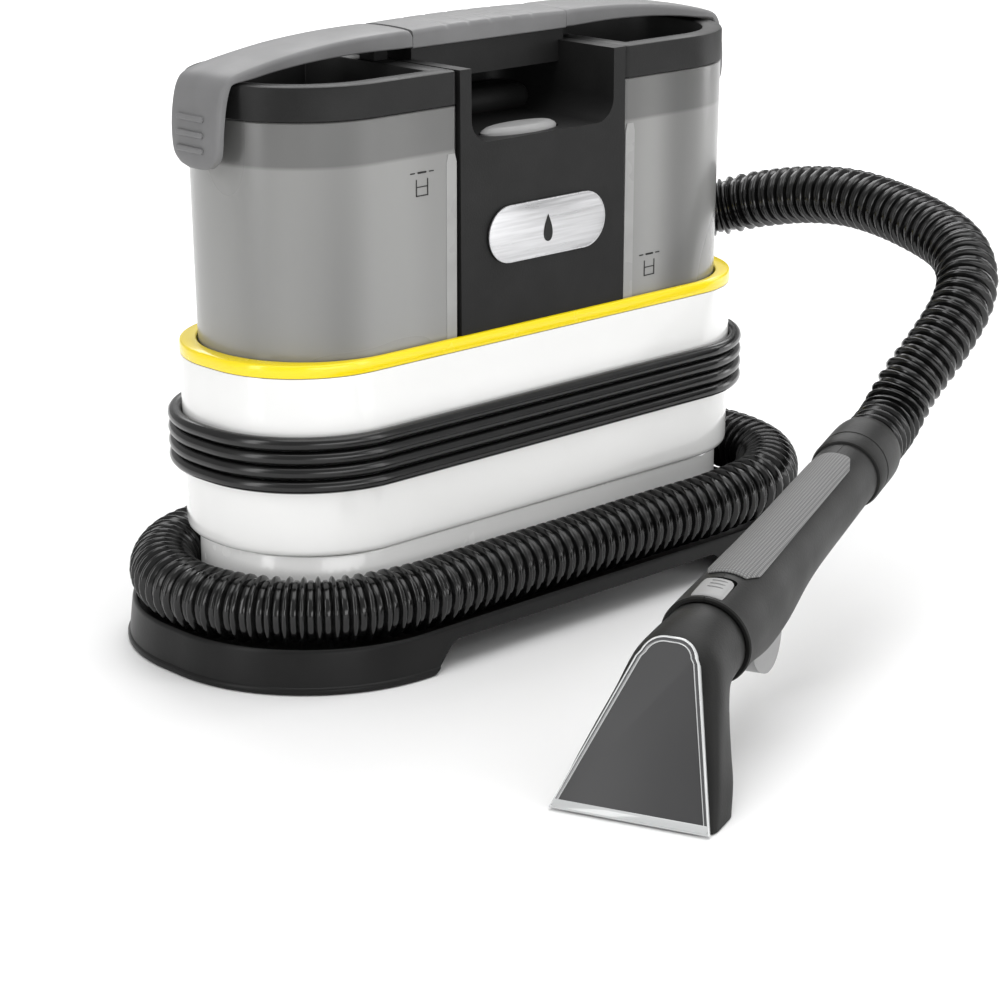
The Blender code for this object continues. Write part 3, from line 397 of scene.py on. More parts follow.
def tinted_window(name):
    """Clear cover seen against the dark channel behind it."""
    material, tree, shader = shader_of(name, (0.05, 0.05, 0.052), 0.30)
    shader.inputs["Alpha"].default_value = 0.93
    shader.inputs["Specular IOR Level"].default_value = 0.25
    vector = coordinates(tree)
    vary_colour(tree, shader, noise(tree, vector, 6.0), (0.050, 0.050, 0.051), (0.066, 0.066, 0.067))
    vary_gloss(tree, shader, noise(tree, vector, 10.0, 0.0), 0.28, 0.38)
    return material


def dotted(name, colour, spot, cell, heading):
    """A soft grip with rows of small raised dots that run along the tool."""
    material, tree, shader = shader_of(name, colour, 0.65)
    place = tree.nodes.new("ShaderNodeTexCoord")
    mapping = tree.nodes.new("ShaderNodeMapping")
    mapping.inputs["Rotation"].default_value = (0.0, 0.0, -heading)
    mapping.inputs["Scale"].default_value = (1 / cell, 1 / cell, 0.0)
    tree.links.new(place.outputs["Object"], mapping.inputs["Vector"])
    cells = tree.nodes.new("ShaderNodeTexVoronoi")
    cells.voronoi_dimensions = "2D"
    cells.inputs["Scale"].default_value = 1.0
    cells.inputs["Randomness"].default_value = 0.0
    tree.links.new(mapping.outputs["Vector"], cells.inputs["Vector"])
    dots = spread(tree, cells.outputs["Distance"], 1.0, 0.0, 0.22, 0.46)
    bump(tree, shader, dots, 0.5, 0.0003)
    vary_colour(tree, shader, dots, colour, spot)
    return material


CHARCOAL = moulded("charcoal_plastic", (0.011, 0.011, 0.011), 0.50)
LID = moulded("lid_plastic", (0.012, 0.012, 0.012), 0.46)
TRAY = moulded("tray_plastic", (0.007, 0.007, 0.007), 0.38, 500.0, 0.2)
WHITE = glossy("white_plastic", (0.84, 0.84, 0.83), 0.16)
# the plinth is the shell's white, painted lighter to make up for the shade it lies in below the shell and
# behind the hose
PLINTH_PAINTED_LIGHT = glossy("plinth_plastic_painted_light", (0.94, 0.94, 0.93), 0.25)
YELLOW = glossy("yellow_plastic", (0.93, 0.72, 0.0), 0.25, 0.3)
GREY = moulded("grey_plastic", (0.17, 0.17, 0.172), 0.42, 700.0, 0.15, 0.05)
PALE = moulded("pale_grey_plastic", (0.29, 0.29, 0.29), 0.40, 700.0, 0.12, 0.05)
HOSE = glossy("hose_plastic", (0.003, 0.003, 0.003), 0.17, 0.0, 0.05)
CORD = glossy("cord_rubber", (0.004, 0.004, 0.004), 0.22, 0.0, 0.05)
FOOT = moulded("foot_rubber", (0.02, 0.02, 0.02), 0.75, 400.0, 0.4)
TOOL_SHELL = moulded("tool_plastic", (0.010, 0.010, 0.0096), 0.46, 800.0, 0.4)
INNER = moulded("inner_plastic", (0.10, 0.10, 0.11), 0.55)
STEEL = brushed("steel", (0.55, 0.55, 0.56), 0.30, (1.0, 1.0, 0.05))
BADGE = brushed("badge_metal", (0.62, 0.62, 0.63), 0.34, (0.04, 1.0, 1.0))
BRASS = brushed("brass", (0.60, 0.45, 0.18), 0.30, (1.0, 0.05, 1.0))
# the tank walls' smoked tint, with upright bands of painted reflection
SMOKE_AND_PAINTED_REFLECTION = smoked_with_painted_reflection("tank_smoke", (0.205, 0.205, 0.20), 0.92)
CLEAR = tinted_window("clear_window")
EDGE = glossy("window_edge", (0.50, 0.51, 0.51), 0.10, 0.8)
RIM = glossy("window_rim", (0.06, 0.06, 0.062), 0.10, 0.8)
# lighter grey of the strips on the tanks' corners: a painted highlight
PAINTED_GLINT = moulded("tank_edge_painted_glint", (0.33, 0.33, 0.325), 0.30, 300.0, 0.05, 0.05)
MARK_DARK = moulded("printed_dark", (0.015, 0.015, 0.015), 0.45, 900.0, 0.05, 0.04)
PAD = dotted("grip_pad", (0.10, 0.10, 0.10), (0.20, 0.20, 0.20), 0.0016, TOOL_HEADING)


# ---- camera, light and floor ------------------------------------------------
def build_camera():
    data = bpy.data.cameras.new("camera")
    data.lens = 99.93
    data.sensor_width = 36.0
    data.shift_x = -0.0244
    data.shift_y = -0.0076
    data.clip_end = 20.0
    camera = bpy.data.objects.new("camera", data)
    camera.rotation_euler = (math.pi / 2 - CAMERA_DOWN, 0.0, CAMERA_TURN)
    camera.location = MACHINE @ CAMERA_AT
    bpy.context.scene.collection.objects.link(camera)
    bpy.context.scene.camera = camera


def area_light(name, place, target, size, power, height=None):
    data = bpy.data.lights.new(name, "AREA")
    data.energy = power
    data.shape = "RECTANGLE"
    data.size = size
    data.size_y = height or size
    light = bpy.data.objects.new(name, data)
    light.location = place
    aim = Vector(target) - Vector(place)
    light.rotation_euler = aim.to_track_quat("-Z", "Y").to_euler()
    bpy.context.scene.collection.objects.link(light)


def build_stage():
    bpy.context.scene.view_settings.view_transform = "Standard"
    world = bpy.data.worlds.new("studio")
    world.use_nodes = True
    world.node_tree.nodes["Background"].inputs["Color"].default_value = (1.0, 1.0, 1.0, 1.0)
    world.node_tree.nodes["Background"].inputs["Strength"].default_value = 0.50
    bpy.context.scene.world = world
    area_light("top_light", (0.1, -0.1, 1.9), (0.0, 0.0, 0.0), 1.8, 22.0)
    area_light("left_light", (-1.5, 0.1, 0.6), (0.0, 0.1, 0.15), 0.35, 7.0, 1.6)
    area_light("front_light", (0.7, -1.6, 0.7), (0.0, 0.0, 0.15), 0.5, 7.0, 1.5)
    area_light("back_light", (2.1, 2.3, 2.2), (2.1, 2.3, 0.0), 3.2, 110.0)
    area_light("low_light", (-0.5, -1.8, 0.35), (0.0, 0.0, 0.06), 1.6, 9.0, 0.5)
    area_light("right_light", (1.7, -0.4, 0.6), (0.1, 0.0, 0.15), 0.4, 7.0, 1.5)
    bm = bmesh.new()
    bmesh.ops.create_grid(bm, x_segments=1, y_segments=1, size=6.0)
    floor = from_bmesh("floor", bm, Matrix.Translation((0.0, 0.0, -0.0002)), None)
    material, tree, shader = shader_of("floor_paper", (0.86, 0.86, 0.86), 0.9)
    vary_colour(tree, shader, noise(tree, coordinates(tree), 3.0), (0.855,) * 3, (0.865,) * 3)
    shader.inputs["Specular IOR Level"].default_value = 0.1
    floor.data.materials.append(material)


# ---- hose and cord ----------------------------------------------------------
def hose_route():
    """Out of the port, once round the base, up behind the tanks and over to the hand tool."""
    route = [(HOSE_START_X, WRAP_RADIUS, WRAP_Z)]
    for step, (swell, rise) in enumerate(RIGHT_BULGE):
        turn = math.radians(90 - 30 * step)
        reach = WRAP_RADIUS + swell
        route.append((WRAP_HALF_STRAIGHT + reach * math.cos(turn), reach * math.sin(turn),
                      WRAP_Z + rise))
    route += [(0.070, -WRAP_RADIUS - 0.001, WRAP_Z + 0.001), (0.0, -WRAP_RADIUS, WRAP_Z),
              (-0.070, -WRAP_RADIUS, WRAP_Z)]
    for step in range(7):
        turn = math.radians(270 - 30 * step)
        route.append((-WRAP_HALF_STRAIGHT + WRAP_RADIUS * math.cos(turn),
                      WRAP_RADIUS * math.sin(turn), WRAP_Z))
    route += [(-0.085, 0.0845, 0.0430), (-0.050, 0.0890, 0.0540), (-0.010, 0.0940, 0.0750),
              (0.035, 0.0960, 0.1010), (0.080, 0.0960, 0.1260), (0.125, 0.0960, 0.1470),
              (0.165, 0.0960, 0.1600), (0.205, 0.0950, 0.1650), (0.238, 0.0925, 0.1675),
              (0.266, 0.0835, 0.1685), (0.286, 0.0670, 0.1710), (0.297, 0.0440, 0.1780),
              (0.302, 0.0080, 0.1855), (0.302, -0.0290, 0.1887), (0.298, -0.0680, 0.1862),
              (0.288, -0.1100, 0.1800), (0.278, -0.1340, 0.1732), (0.265, -0.1500, 0.1632),
              (0.2523, -0.1573, 0.1526), (0.2385, -0.1604, 0.1420), (0.2199, -0.1617, 0.1280),
              (0.2013, -0.1610, 0.1134), (0.1881, -0.1616, 0.1010), (0.1753, -0.1649, 0.0934),
              (0.1617, -0.1698, 0.0905), (0.1524, -0.1735, 0.0893), (0.1434, -0.1770, 0.0881)]
    return route


def build_hose():
    """A corrugated tube: each ring is a rounded crest between two narrow grooves."""
    path = [MACHINE @ point for point in even_path(hose_route(), HOSE_PITCH / len(RIB_PROFILE))]
    direction = (path[1] - path[0]).normalized()
    across = direction.orthogonal().normalized()
    rings = []
    last = len(path) - 1
    for index, point in enumerate(path):
        ahead = path[min(index + 1, last)] - path[max(index - 1, 0)]
        turn = direction.rotation_difference(ahead.normalized())
        across = (turn @ across).normalized()
        direction = ahead.normalized()
        beside = direction.cross(across)
        radius = HOSE_RADIUS - RIB_PROFILE[index % len(RIB_PROFILE)]
        rings.append([point + x * across + y * beside
                      for x, y in circle(0.0, 0.0, radius, radius, HOSE_SIDES)])
    hose = loft("suction_hose_skin", rings, None, smooth=HOSE_SMOOTH_ANGLE)
    piece(hose, "root", HOSE, ["suction_hose"])


def cord_corner(z):
    """Half-length, half-width and corner radius of the cord's line at a height on the shell."""
    share = (z - 0.068) / 0.0937
    clear = CORD_RADIUS + 0.0004
    return 0.185 + clear, 0.0685 - 0.004 * share + clear, 0.066 - 0.008 * share + clear


def cord_turn(z):
    """One level turn, from the rear's right side clockwise to the rear's left side."""
    half_length, half_width, radius = cord_corner(z)
    points = []
    for x, y, start in ((1, 1, 90), (1, -1, 0), (-1, -1, -90), (-1, 1, -180)):
        for step in range(13):
            turn = math.radians(start - 90 * step / 12)
            points.append((x * (half_length - radius) + radius * math.cos(turn),
                           y * (half_width - radius) + radius * math.sin(turn), z))
        if (x, y) == (1, -1):
            points += [(x_front, -half_width, z) for x_front in (0.08, 0.04, 0.0, -0.04, -0.08)]
    return points


def cord_route():
    route = [(-0.0646, 0.0740, 0.0880), (-0.045, 0.0740, 0.0883), (-0.015, 0.0733, 0.0905),
             (0.015, 0.0724, 0.0940), (0.035, 0.0718, 0.0963), (0.052, 0.0716, 0.0972),
             (0.080, 0.0714, 0.1010)]
    for number in range(CORD_TURNS):
        z = CORD_LOW + CORD_PITCH * number
        route += cord_turn(z)
        if number < CORD_TURNS - 1:
            for share in (0.25, 0.5, 0.75):
                level = z + CORD_PITCH * share
                route.append((-0.105 + 0.21 * share, cord_corner(level)[1], level))
    route += [(-0.104, 0.0706, 0.1310), (-0.092, 0.0710, 0.1370), (-0.083, 0.0722, 0.1430),
              (-0.0765, 0.0736, 0.1475), (-0.0700, 0.0748, 0.1503), (-0.0634, 0.0750, 0.1510)]
    return route


def build_cord():
    path = [MACHINE @ Vector(point) for point in catmull(cord_route(), 3)]
    curve = bpy.data.curves.new("power_cord", "CURVE")
    curve.dimensions = "3D"
    curve.bevel_depth = CORD_RADIUS
    curve.bevel_resolution = 5
    curve.use_fill_caps = True
    spline = curve.splines.new("POLY")
    spline.points.add(len(path) - 1)
    for target, point in zip(spline.points, path):
        target.co = (*point, 1.0)
    spline.use_smooth = True
    cord = bpy.data.objects.new("power_cord", curve)
    bpy.context.scene.collection.objects.link(cord)
    curve.materials.append(CORD)
    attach(cord, "root")
    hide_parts("cord_lead", "cord_winding", "cord_tail")


# ---- base and shells --------------------------------------------------------
def build_base():
    tray = oval_loft("base_tray_skin", (
        (0.4240, 0.1930, 0.0885, 0.0172), (0.4290, 0.1980, 0.0910, 0.0004),
        (0.4344, 0.2034, 0.0937, 0.0004), (0.4350, 0.2040, 0.0940, 0.0010),
        (0.4350, 0.2040, 0.0940, 0.0028), (0.4342, 0.2032, 0.0936, 0.0036),
        (0.4326, 0.2016, 0.0928, 0.0042), (0.4284, 0.1984, 0.0912, 0.0218),
        (0.4278, 0.1978, 0.0909, 0.0233), (0.4262, 0.1962, 0.0901, 0.0240),
        (0.4240, 0.1940, 0.0890, 0.0240), (0.4226, 0.1926, 0.0884, 0.0232),
        (0.4210, 0.1910, 0.0876, 0.0210), (0.4190, 0.1890, 0.0866, 0.0205)))
    arch = [(-0.124, -0.01), (-0.122, 0.0)]
    for step in range(1, 17):
        t = step / 16
        arch.append((-0.122 + 0.022 * t, 0.016 * (3 * t ** 2 - 2 * t ** 3)))
    arch += [(-x, z) for x, z in reversed(arch)]
    boolean(tray, slab("arch", arch, -0.13, 0.13, UPRIGHT))
    tray.data.set_sharp_from_angle(angle=SMOOTH_ANGLE)
    piece(tray, "root", TRAY, ["base_tray"])
    for number in range(1, 5):
        low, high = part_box(f"foot_pad_{number}")
        x, y = (low[0] + high[0]) / 2, (low[1] + high[1]) / 2
        rings = []
        for radius, z in ((0.0098, 0.0), (0.0106, 0.0003), (0.0110, 0.0010), (0.0110, 0.0030)):
            rings.append([Vector((*point, z)) for point in circle(x, y, radius, radius, 40)])
        piece(loft(f"foot_{number}", rings, None), "root", FOOT,
              [f"foot_pad_{number}"])
        boss = [[Vector((point.x, point.y, z)) for point in rings[-1]] for z in (0.0034, 0.0176)]
        piece(loft(f"foot_boss_{number}", boss, None), "root", TRAY)

    plinth = oval_loft("plinth_skin", (
        (0.3555, 0.1255, 0.0600, 0.0209), (0.3555, 0.1255, 0.0600, 0.0615),
        (0.3545, 0.1245, 0.0595, 0.0623), (0.3520, 0.1220, 0.0583, 0.0623),
        (0.3505, 0.1205, 0.0575, 0.0600), (0.3505, 0.1205, 0.0575, 0.0235)))
    piece(plinth, "root", PLINTH_PAINTED_LIGHT, ["plinth"])

    shell = oval_loft("main_shell_skin", (
        (0.3440, 0.1140, 0.0540, 0.0629), (0.3520, 0.1220, 0.0580, 0.0629),
        (0.3520, 0.1220, 0.0580, 0.0644), (0.3650, 0.1320, 0.0635, 0.0644),
        (0.3672, 0.1342, 0.0646, 0.0648), (0.3690, 0.1360, 0.0655, 0.0660),
        (0.3698, 0.1368, 0.0659, 0.0680), (0.3700, 0.1290, 0.0580, 0.1610),
        (0.3696, 0.1286, 0.0578, 0.1617), (0.3650, 0.1240, 0.0555, 0.1617),
        (0.3650, 0.1310, 0.0635, 0.0700), (0.3440, 0.1140, 0.0540, 0.0665)), ring_shaped=True)
    piece(shell, "root", WHITE, ["main_shell"])

    ring = oval_loft("accent_ring_skin", (
        (0.3696, 0.1286, 0.0578, 0.1621), (0.3700, 0.1290, 0.0580, 0.1625),
        (0.3700, 0.1290, 0.0580, 0.1676), (0.3694, 0.1284, 0.0577, 0.1685),
        (0.3680, 0.1270, 0.0570, 0.1690), (0.3540, 0.1230, 0.0590, 0.1690),
        (0.3530, 0.1220, 0.0588, 0.1685), (0.3526, 0.1216, 0.0586, 0.1621)), ring_shaped=True)
    piece(ring, "root", YELLOW, ["accent_ring"])


# ---- tower, handle and badge ------------------------------------------------
def build_tower():
    tower = block("tower_skin", (-0.0621, -0.0620, 0.1690), (0.0621, 0.0620, 0.3120))
    base = block("tower_base", (-0.0621, -0.0600, 0.1604), (0.0621, 0.0600, 0.1700))
    boolean(tower, base, "UNION")
    boolean(tower, block("recess", (-0.0540, -0.1200, 0.2720), (0.0530, 0.0300, 0.3600),
                         bevel=0.0130, segments=10))
    ledge = block("ledge", (-0.0250, 0.0020, 0.2700), (0.0535, 0.0305, 0.2860), bevel=0.0078,
                  segments=8)
    boolean(tower, ledge, "UNION")
    boolean(tower, block("inside", (-0.0590, -0.0570, 0.1500), (0.0590, 0.0570, 0.2640)))
    hole = circle(*POWER_BUTTON_AT, 0.0280, 0.0112, 64)
    boolean(tower, slab("button_hole", hole, 0.255, 0.290, MACHINE))
    boolean(tower, block("rear_window", (-0.0450, 0.0500, 0.1850), (0.0450, 0.0700, 0.2600)))
    boolean(tower, block("beam", (-0.0570, -0.0180, 0.3000), (0.0570, 0.0305, 0.3180)), "UNION")
    soften(tower, 0.0007, 35).harden_normals = True
    tower.data.shade_smooth()
    piece(tower, "root", CHARCOAL, ["tower_housing"])

    rings = lifted(*((circle(*POWER_BUTTON_AT, 0.0268 - inset * 1.6, 0.0103 - inset, 72), z)
                     for inset, z in ((0.0, 0.2645), (0.0, 0.2728), (0.0006, 0.2738),
                                      (0.0022, 0.2751), (0.0036, 0.2756), (0.0046, 0.2757))))
    piece(loft("power_button_cap", rings), "power_button_body", PALE,
          ["power_button"])
    build_badge()
    build_bar()


def round_bar(x, z, half, radius, steps=16):
    points = arc(x + half, z, radius, -90, 90, steps)
    return points + arc(x - half, z, radius, 90, 270, steps)


def build_badge():
    rim = round_bar(BADGE_X, BADGE_Z, 0.0285, 0.01575)
    inner = round_bar(BADGE_X, BADGE_Z, 0.0285, 0.01505)
    plate = slab("badge_skin", rim, 0.0624, 0.0636, UPRIGHT, 0.0005)
    piece(plate, "root", BADGE, ["badge_plate"])
    edge = loft("badge_rim", lifted((rim, 0.0632), (rim, 0.0637), (inner, 0.0637), (inner, 0.0632)),
                UPRIGHT, ring_shaped=True)
    piece(edge, "root", STEEL)
    drop = []
    for step in range(41):
        turn = 2 * math.pi * step / 40
        drop.append((BADGE_X + 0.0044 * math.sin(turn) * math.sin(turn / 2) ** 1.2,
                     BADGE_Z - 0.0005 + 0.0075 * math.cos(turn)))
    mark = slab("badge_drop", drop[:-1], 0.0635, 0.0639, UPRIGHT)
    piece(mark, "root", MARK_DARK)


def bar_section(top, bottom, half):
    """A section across the bar: flat below, with rounded shoulders and a slightly domed top."""
    top, bottom = Vector((top[0], 0, top[1])), Vector((bottom[0], 0, bottom[1]))
    rise = top - bottom
    depth = rise.length
    corner = min(0.0026, depth * 0.42)
    points = [(-half, 0.0006), (-half, depth - corner - 0.0008)]
    for x, y in arc(-half + corner, depth - corner - 0.0008, corner, 180, 100, 6)[1:]:
        points.append((x, y))
    for step in range(1, 10):
        x = -half * 0.86 + 2 * half * 0.86 * step / 10
        points.append((x, depth - 0.0008 * (x / half) ** 2))
    for x, y in arc(half - corner, depth - corner - 0.0008, corner, 80, 0, 6)[:-1]:
        points.append((x, y))
    points += [(half, depth - corner - 0.0008), (half, 0.0006), (half - 0.0006, 0.0),
               (-half + 0.0006, 0.0)]
    unit = rise.normalized()
    return [bottom + unit * y + Vector((0, x, 0)) for x, y in points]


def build_bar():
    """The fixed middle of the handle, with five shallow grooves across its top."""
    half = 0.0573
    sections = []
    for step in range(97):
        x = -half + 2 * half * step / 96
        top = 0.3300 - 0.0010 * (x / half) ** 2
        for centre in (-0.032, -0.016, 0.0, 0.016, 0.032):
            near = abs(x - centre) / 0.0022
            if near < 1:
                top -= 0.0007 * (1 + math.cos(math.pi * near)) / 2
        sections.append(bar_section((x, top), (x, 0.3184), 0.020))
    piece(loft("handle_centre_skin", sections), "root", GREY, ["handle_centre"])


# ---- tanks ------------------------------------------------------------------
TANK_LOW, TANK_TOP, TANK_LEAN = 0.1604, 0.2936, 0.0020
LID_TOP, LID_GROW = 0.3120, 0.0030
# up the outside of the wall, over its rim and down the inside: height, inset, growth
TANK_LEVELS = (
    (TANK_LOW, 0.0010), (0.1614, 0.0), (0.2930, 0.0, TANK_LEAN), (TANK_TOP, 0.0005, TANK_LEAN),
    (TANK_TOP, 0.0018, TANK_LEAN), (0.2930, 0.0022, TANK_LEAN), (0.1650, 0.0022), (0.1632, 0.0040))
# up the skirt and the lid's outside, over its rim and down to the pan: height, inset
LID_LEVELS = (
    (0.2715, 0.0040), (0.2722, 0.0034), (0.2940, 0.0034), (0.2940, 0.0006), (0.2945, 0.0002),
    (0.3104, 0.0002), (0.3115, 0.0006), (LID_TOP, 0.0016), (LID_TOP, 0.0106), (0.3115, 0.0116),
    (0.3105, 0.0120), (0.2820, 0.0128), (0.2800, 0.0150))


def tank_outline(side, z, inset, grow=0.0):
    """The D-shaped outline of a tank: its flat side is at the tower."""
    points = outline(0.0626 + inset, 0.1755 + grow - inset, 0.0600 + grow / 2 - inset,
                     max(0.0008, 0.0040 - inset), 0.0580 + grow / 2 - inset, z, 24)
    return [Vector((side * point.x, point.y, point.z)) for point in points]


def build_tank(side, prefix):
    """One tank with its corner strip of painted glint and its lid, mirrored by its side."""
    tank = loft(f"{prefix}_tank_skin", [tank_outline(side, *level) for level in TANK_LEVELS])
    body = f"{prefix}_tank_body"
    piece(tank, body, SMOKE_AND_PAINTED_REFLECTION, [f"{prefix}_tank"])

    # a lighter sheet just in front of the wall at the corner by the tower: a painted highlight down the
    # tank's edge
    low, high = sorted((side * 0.0640, side * 0.0712))
    sections = []
    for y, z in ((-0.06020, 0.1640), (-0.06096, 0.2640), (-0.06098, 0.2685)):
        taper = 0.0012 if z > 0.266 else 0.0
        left, right, back = low + taper, high - taper, y + 0.0006
        sections.append([(left, y, z), (right, y, z), (right, back, z), (left, back, z)])
    piece(loft(f"{prefix}_tank_glint_strip", sections), body, PAINTED_GLINT)

    lid = loft(f"{prefix}_lid_skin",
               [tank_outline(side, z, inset, LID_GROW) for z, inset in LID_LEVELS])
    tongue = [(0.0634, 0.3100), (0.0728, 0.3100), (0.0728, 0.3172)]
    tongue += arc(HINGE_X, HINGE_Z, 0.00175, 60, 250, 14) + [(0.0634, 0.3172)]
    tongue = [(side * x, z) for x, z in tongue]
    shape = slab(f"{prefix}_tongue", tongue, -0.006, 0.006, UPRIGHT)
    boolean(lid, shape, "UNION")
    lid.data.set_sharp_from_angle(angle=SMOOTH_ANGLE)
    piece(lid, f"{prefix}_lid_body", LID, [f"{prefix}_lid"])
    build_arm(side, prefix)


def build_arm(side, prefix):
    """The latch arm over the lid, with its ribbed tab at the end."""
    # the top's x and z, the bottom's x and z, and half the width
    stations = catmull((
        (0.0605, 0.3289, 0.0605, 0.3190, 0.0200), (0.0660, 0.3292, 0.0660, 0.3190, 0.0200),
        (0.0950, 0.3286, 0.0950, 0.3195, 0.0200), (0.1250, 0.3265, 0.1245, 0.3185, 0.0200),
        (0.1500, 0.3232, 0.1490, 0.3163, 0.0200), (0.1690, 0.3198, 0.1670, 0.3138, 0.0200),
        (0.1805, 0.3165, 0.1775, 0.3127, 0.0200), (0.1860, 0.3115, 0.1806, 0.3102, 0.0200),
        (0.1890, 0.3030, 0.1834, 0.3010, 0.0200), (0.1905, 0.2900, 0.1852, 0.2890, 0.0200),
        (0.1908, 0.2770, 0.1856, 0.2765, 0.0186), (0.1903, 0.2710, 0.1860, 0.2708, 0.0140),
        (0.1895, 0.2685, 0.1866, 0.2685, 0.0080)), 6)
    first = [(0.0576, 0.3268, 0.0576, 0.3190, 0.0200), (0.0581, 0.3279, 0.0581, 0.3190, 0.0200),
             (0.0590, 0.3286, 0.0590, 0.3190, 0.0200)]
    rings = [bar_section((side * s[0], s[1]), (side * s[2], s[3]), s[4])
             for s in first + stations]
    arm = loft(f"{prefix}_latch_arm_skin", rings)
    low, high = sorted((side * 0.0560, side * 0.0775))
    boolean(arm, block("slot", (low, -0.0066, 0.3000), (high, 0.0066, 0.3283)))
    arm.data.set_sharp_from_angle(angle=SMOOTH_ANGLE)
    piece(arm, f"{prefix}_latch_body", GREY, [f"{prefix}_latch_arm"])
    for number, (x, z) in enumerate(((0.1898, 0.2785), (0.1896, 0.2865), (0.1888, 0.2945))):
        place = (MACHINE @ Matrix.Translation((side * x, 0.0020, 0))
                 @ Matrix.Rotation(side * math.pi / 2, 4, "Z")
                 @ Matrix.Rotation(math.pi / 2, 4, "X"))
        rib = slab(f"{prefix}_tab_rib_{number + 1}", round_bar(0.0, z, 0.0095, 0.0016, 8),
                   0.0, 0.0026, place, 0.0010, 4)
        piece(rib, f"{prefix}_latch_body", GREY)


def build_marks():
    """Plain level marks on the tank fronts: a dashed line over a small tank outline."""
    for prefix, x, z in (("fresh", -0.0885, 0.2615), ("dirty", 0.0850, 0.1915)):
        front = 0.0600 + TANK_LEAN / 2 * (z - TANK_LOW) / (TANK_TOP - TANK_LOW)
        shapes = [round_bar(x - 0.0066, z, 0.0014, 0.0003, 4),
                  round_bar(x + 0.0066, z, 0.0014, 0.0003, 4),
                  round_bar(x, z, 0.0026, 0.0005, 4)]
        left, right, low, high = x - 0.0042, x + 0.0042, z - 0.0125, z - 0.0035
        for (a, b), (c, d) in (((left, low), (left + 0.0005, high)),
                               ((right - 0.0005, low), (right, high)),
                               ((left, low), (right, low + 0.0005)),
                               ((left + 0.0005, z - 0.0078), (right - 0.0005, z - 0.0073))):
            shapes.append([(a, b), (c, b), (c, d), (a, d)])
        for number, shape in enumerate(shapes):
            mark = slab(f"{prefix}_mark_{number + 1}", shape, front - 0.0001, front + 0.00025,
                        UPRIGHT)
            piece(mark, f"{prefix}_tank_body", MARK_DARK)


# ---- hand tool --------------------------------------------------------------
BUTTON_TOP = 0.0237                      # from the tool's axis to the release button's rim


def axis_z(x):
    """Height of the tool's tilted axis at a place along it."""
    return AXIS_Z + (x - AXIS_X) * math.tan(TOOL_PITCH)


def tool_section(x, up, down, half, power=2.0, count=64):
    """A section across the tool: a rounder or squarer oval, deeper below the axis than above."""
    centre = Vector((x, 0, axis_z(x)))
    ring = []
    for i in range(count):
        turn = 2 * math.pi * i / count
        c, s = math.cos(turn), math.sin(turn)
        reach = (abs(c) ** power + abs(s) ** power) ** (-1 / power)
        ring.append(centre + Vector((0, half * c * reach, 0))
                    + TOOL_RISE * ((up if s > 0 else down) * s * reach))
    return ring


# stations along the tool: x, then how far the shell reaches up, down and to each side
GRIP_SHAPE = ((0.0985, 0.0240, 0.0240, 0.0240), (0.1120, 0.0238, 0.0250, 0.0236),
              (0.1300, 0.0232, 0.0290, 0.0228), (0.1500, 0.0225, 0.0335, 0.0220),
              (0.1750, 0.0215, 0.0330, 0.0210), (0.2000, 0.0208, 0.0245, 0.0205),
              (0.2250, 0.0203, 0.0210, 0.0200), (0.2700, 0.0196, 0.0198, 0.0195),
              (0.3120, 0.0190, 0.0190, 0.0190))


def grip_rings(inset):
    return [tool_section(x, up - inset, down - inset, half - inset)
            for x, up, down, half in catmull(GRIP_SHAPE, 5)]


def build_grip():
    for name, side in (("grip_left", 1), ("grip_right", -1)):
        outer = grip_rings(0.0)
        edge = [point.lerp(Vector((AXIS_X, 0, AXIS_Z)), 0.03) for point in outer[0]]
        first = [point + Vector((0.0008, 0, 0.0001)) for point in outer[0]]
        shell = loft(f"{name}_skin", [edge, first] + outer[1:], TOOL)
        inner = grip_rings(0.0025)
        inner[0] = [point - Vector((0.004, 0, 0)) for point in inner[0]]
        inner[-1] = [point + Vector((0.004, 0, 0)) for point in inner[-1]]
        boolean(shell, loft("inside", inner, TOOL))
        near, far = sorted((-side * 0.05, side * 0.00012))
        boolean(shell, block("half", (0.05, near, -0.02), (0.40, far, 0.15), TOOL))
        boolean(shell, block("slot", (0.1465, -0.0088, 0.0), (0.1935, 0.0088, 0.0480), TOOL))
        boolean(shell, block("hole", (0.1005, -0.0086, 0.0770), (0.1215, 0.0086, 0.1), TOOL,
                             0.0024, 3))
        shell.data.set_sharp_from_angle(angle=SMOOTH_ANGLE)
        piece(shell, "root", TOOL_SHELL, [name])


def build_pad():
    stations = catmull(((0.1300, 0.0232), (0.1500, 0.0225), (0.1750, 0.0215), (0.2000, 0.0208),
                        (0.2250, 0.0203), (0.2700, 0.0196), (0.2970, 0.0192)), 6)
    rings = []
    last = len(stations) - 1
    for index, (x, radius) in enumerate(stations):
        spread_angle = 37 - 12 * max(0.0, 1 - index / 3) - 12 * max(0.0, 1 - (last - index) / 3)
        height = 0.0014 if 0 < index < last else 0.0008
        ring = []
        centre = Vector((x, 0, axis_z(x)))
        for level, order in ((height, 1), (0.0002, -1)):
            for step in range(21):
                turn = math.radians(90 + order * spread_angle * (1 - 2 * step / 20))
                edge = min(1.0, step / 1.5, (20 - step) / 1.5) if order == 1 else 1.0
                reach = radius + 0.0002 + (level - 0.0002) * (0.45 + 0.55 * edge)
                ring.append(centre + Vector((0, reach * math.cos(turn), 0))
                            + TOOL_RISE * (reach * math.sin(turn)))
        rings.append(ring)
    piece(loft("grip_pad_skin", rings, TOOL), "root", PAD, ["grip_pad"])


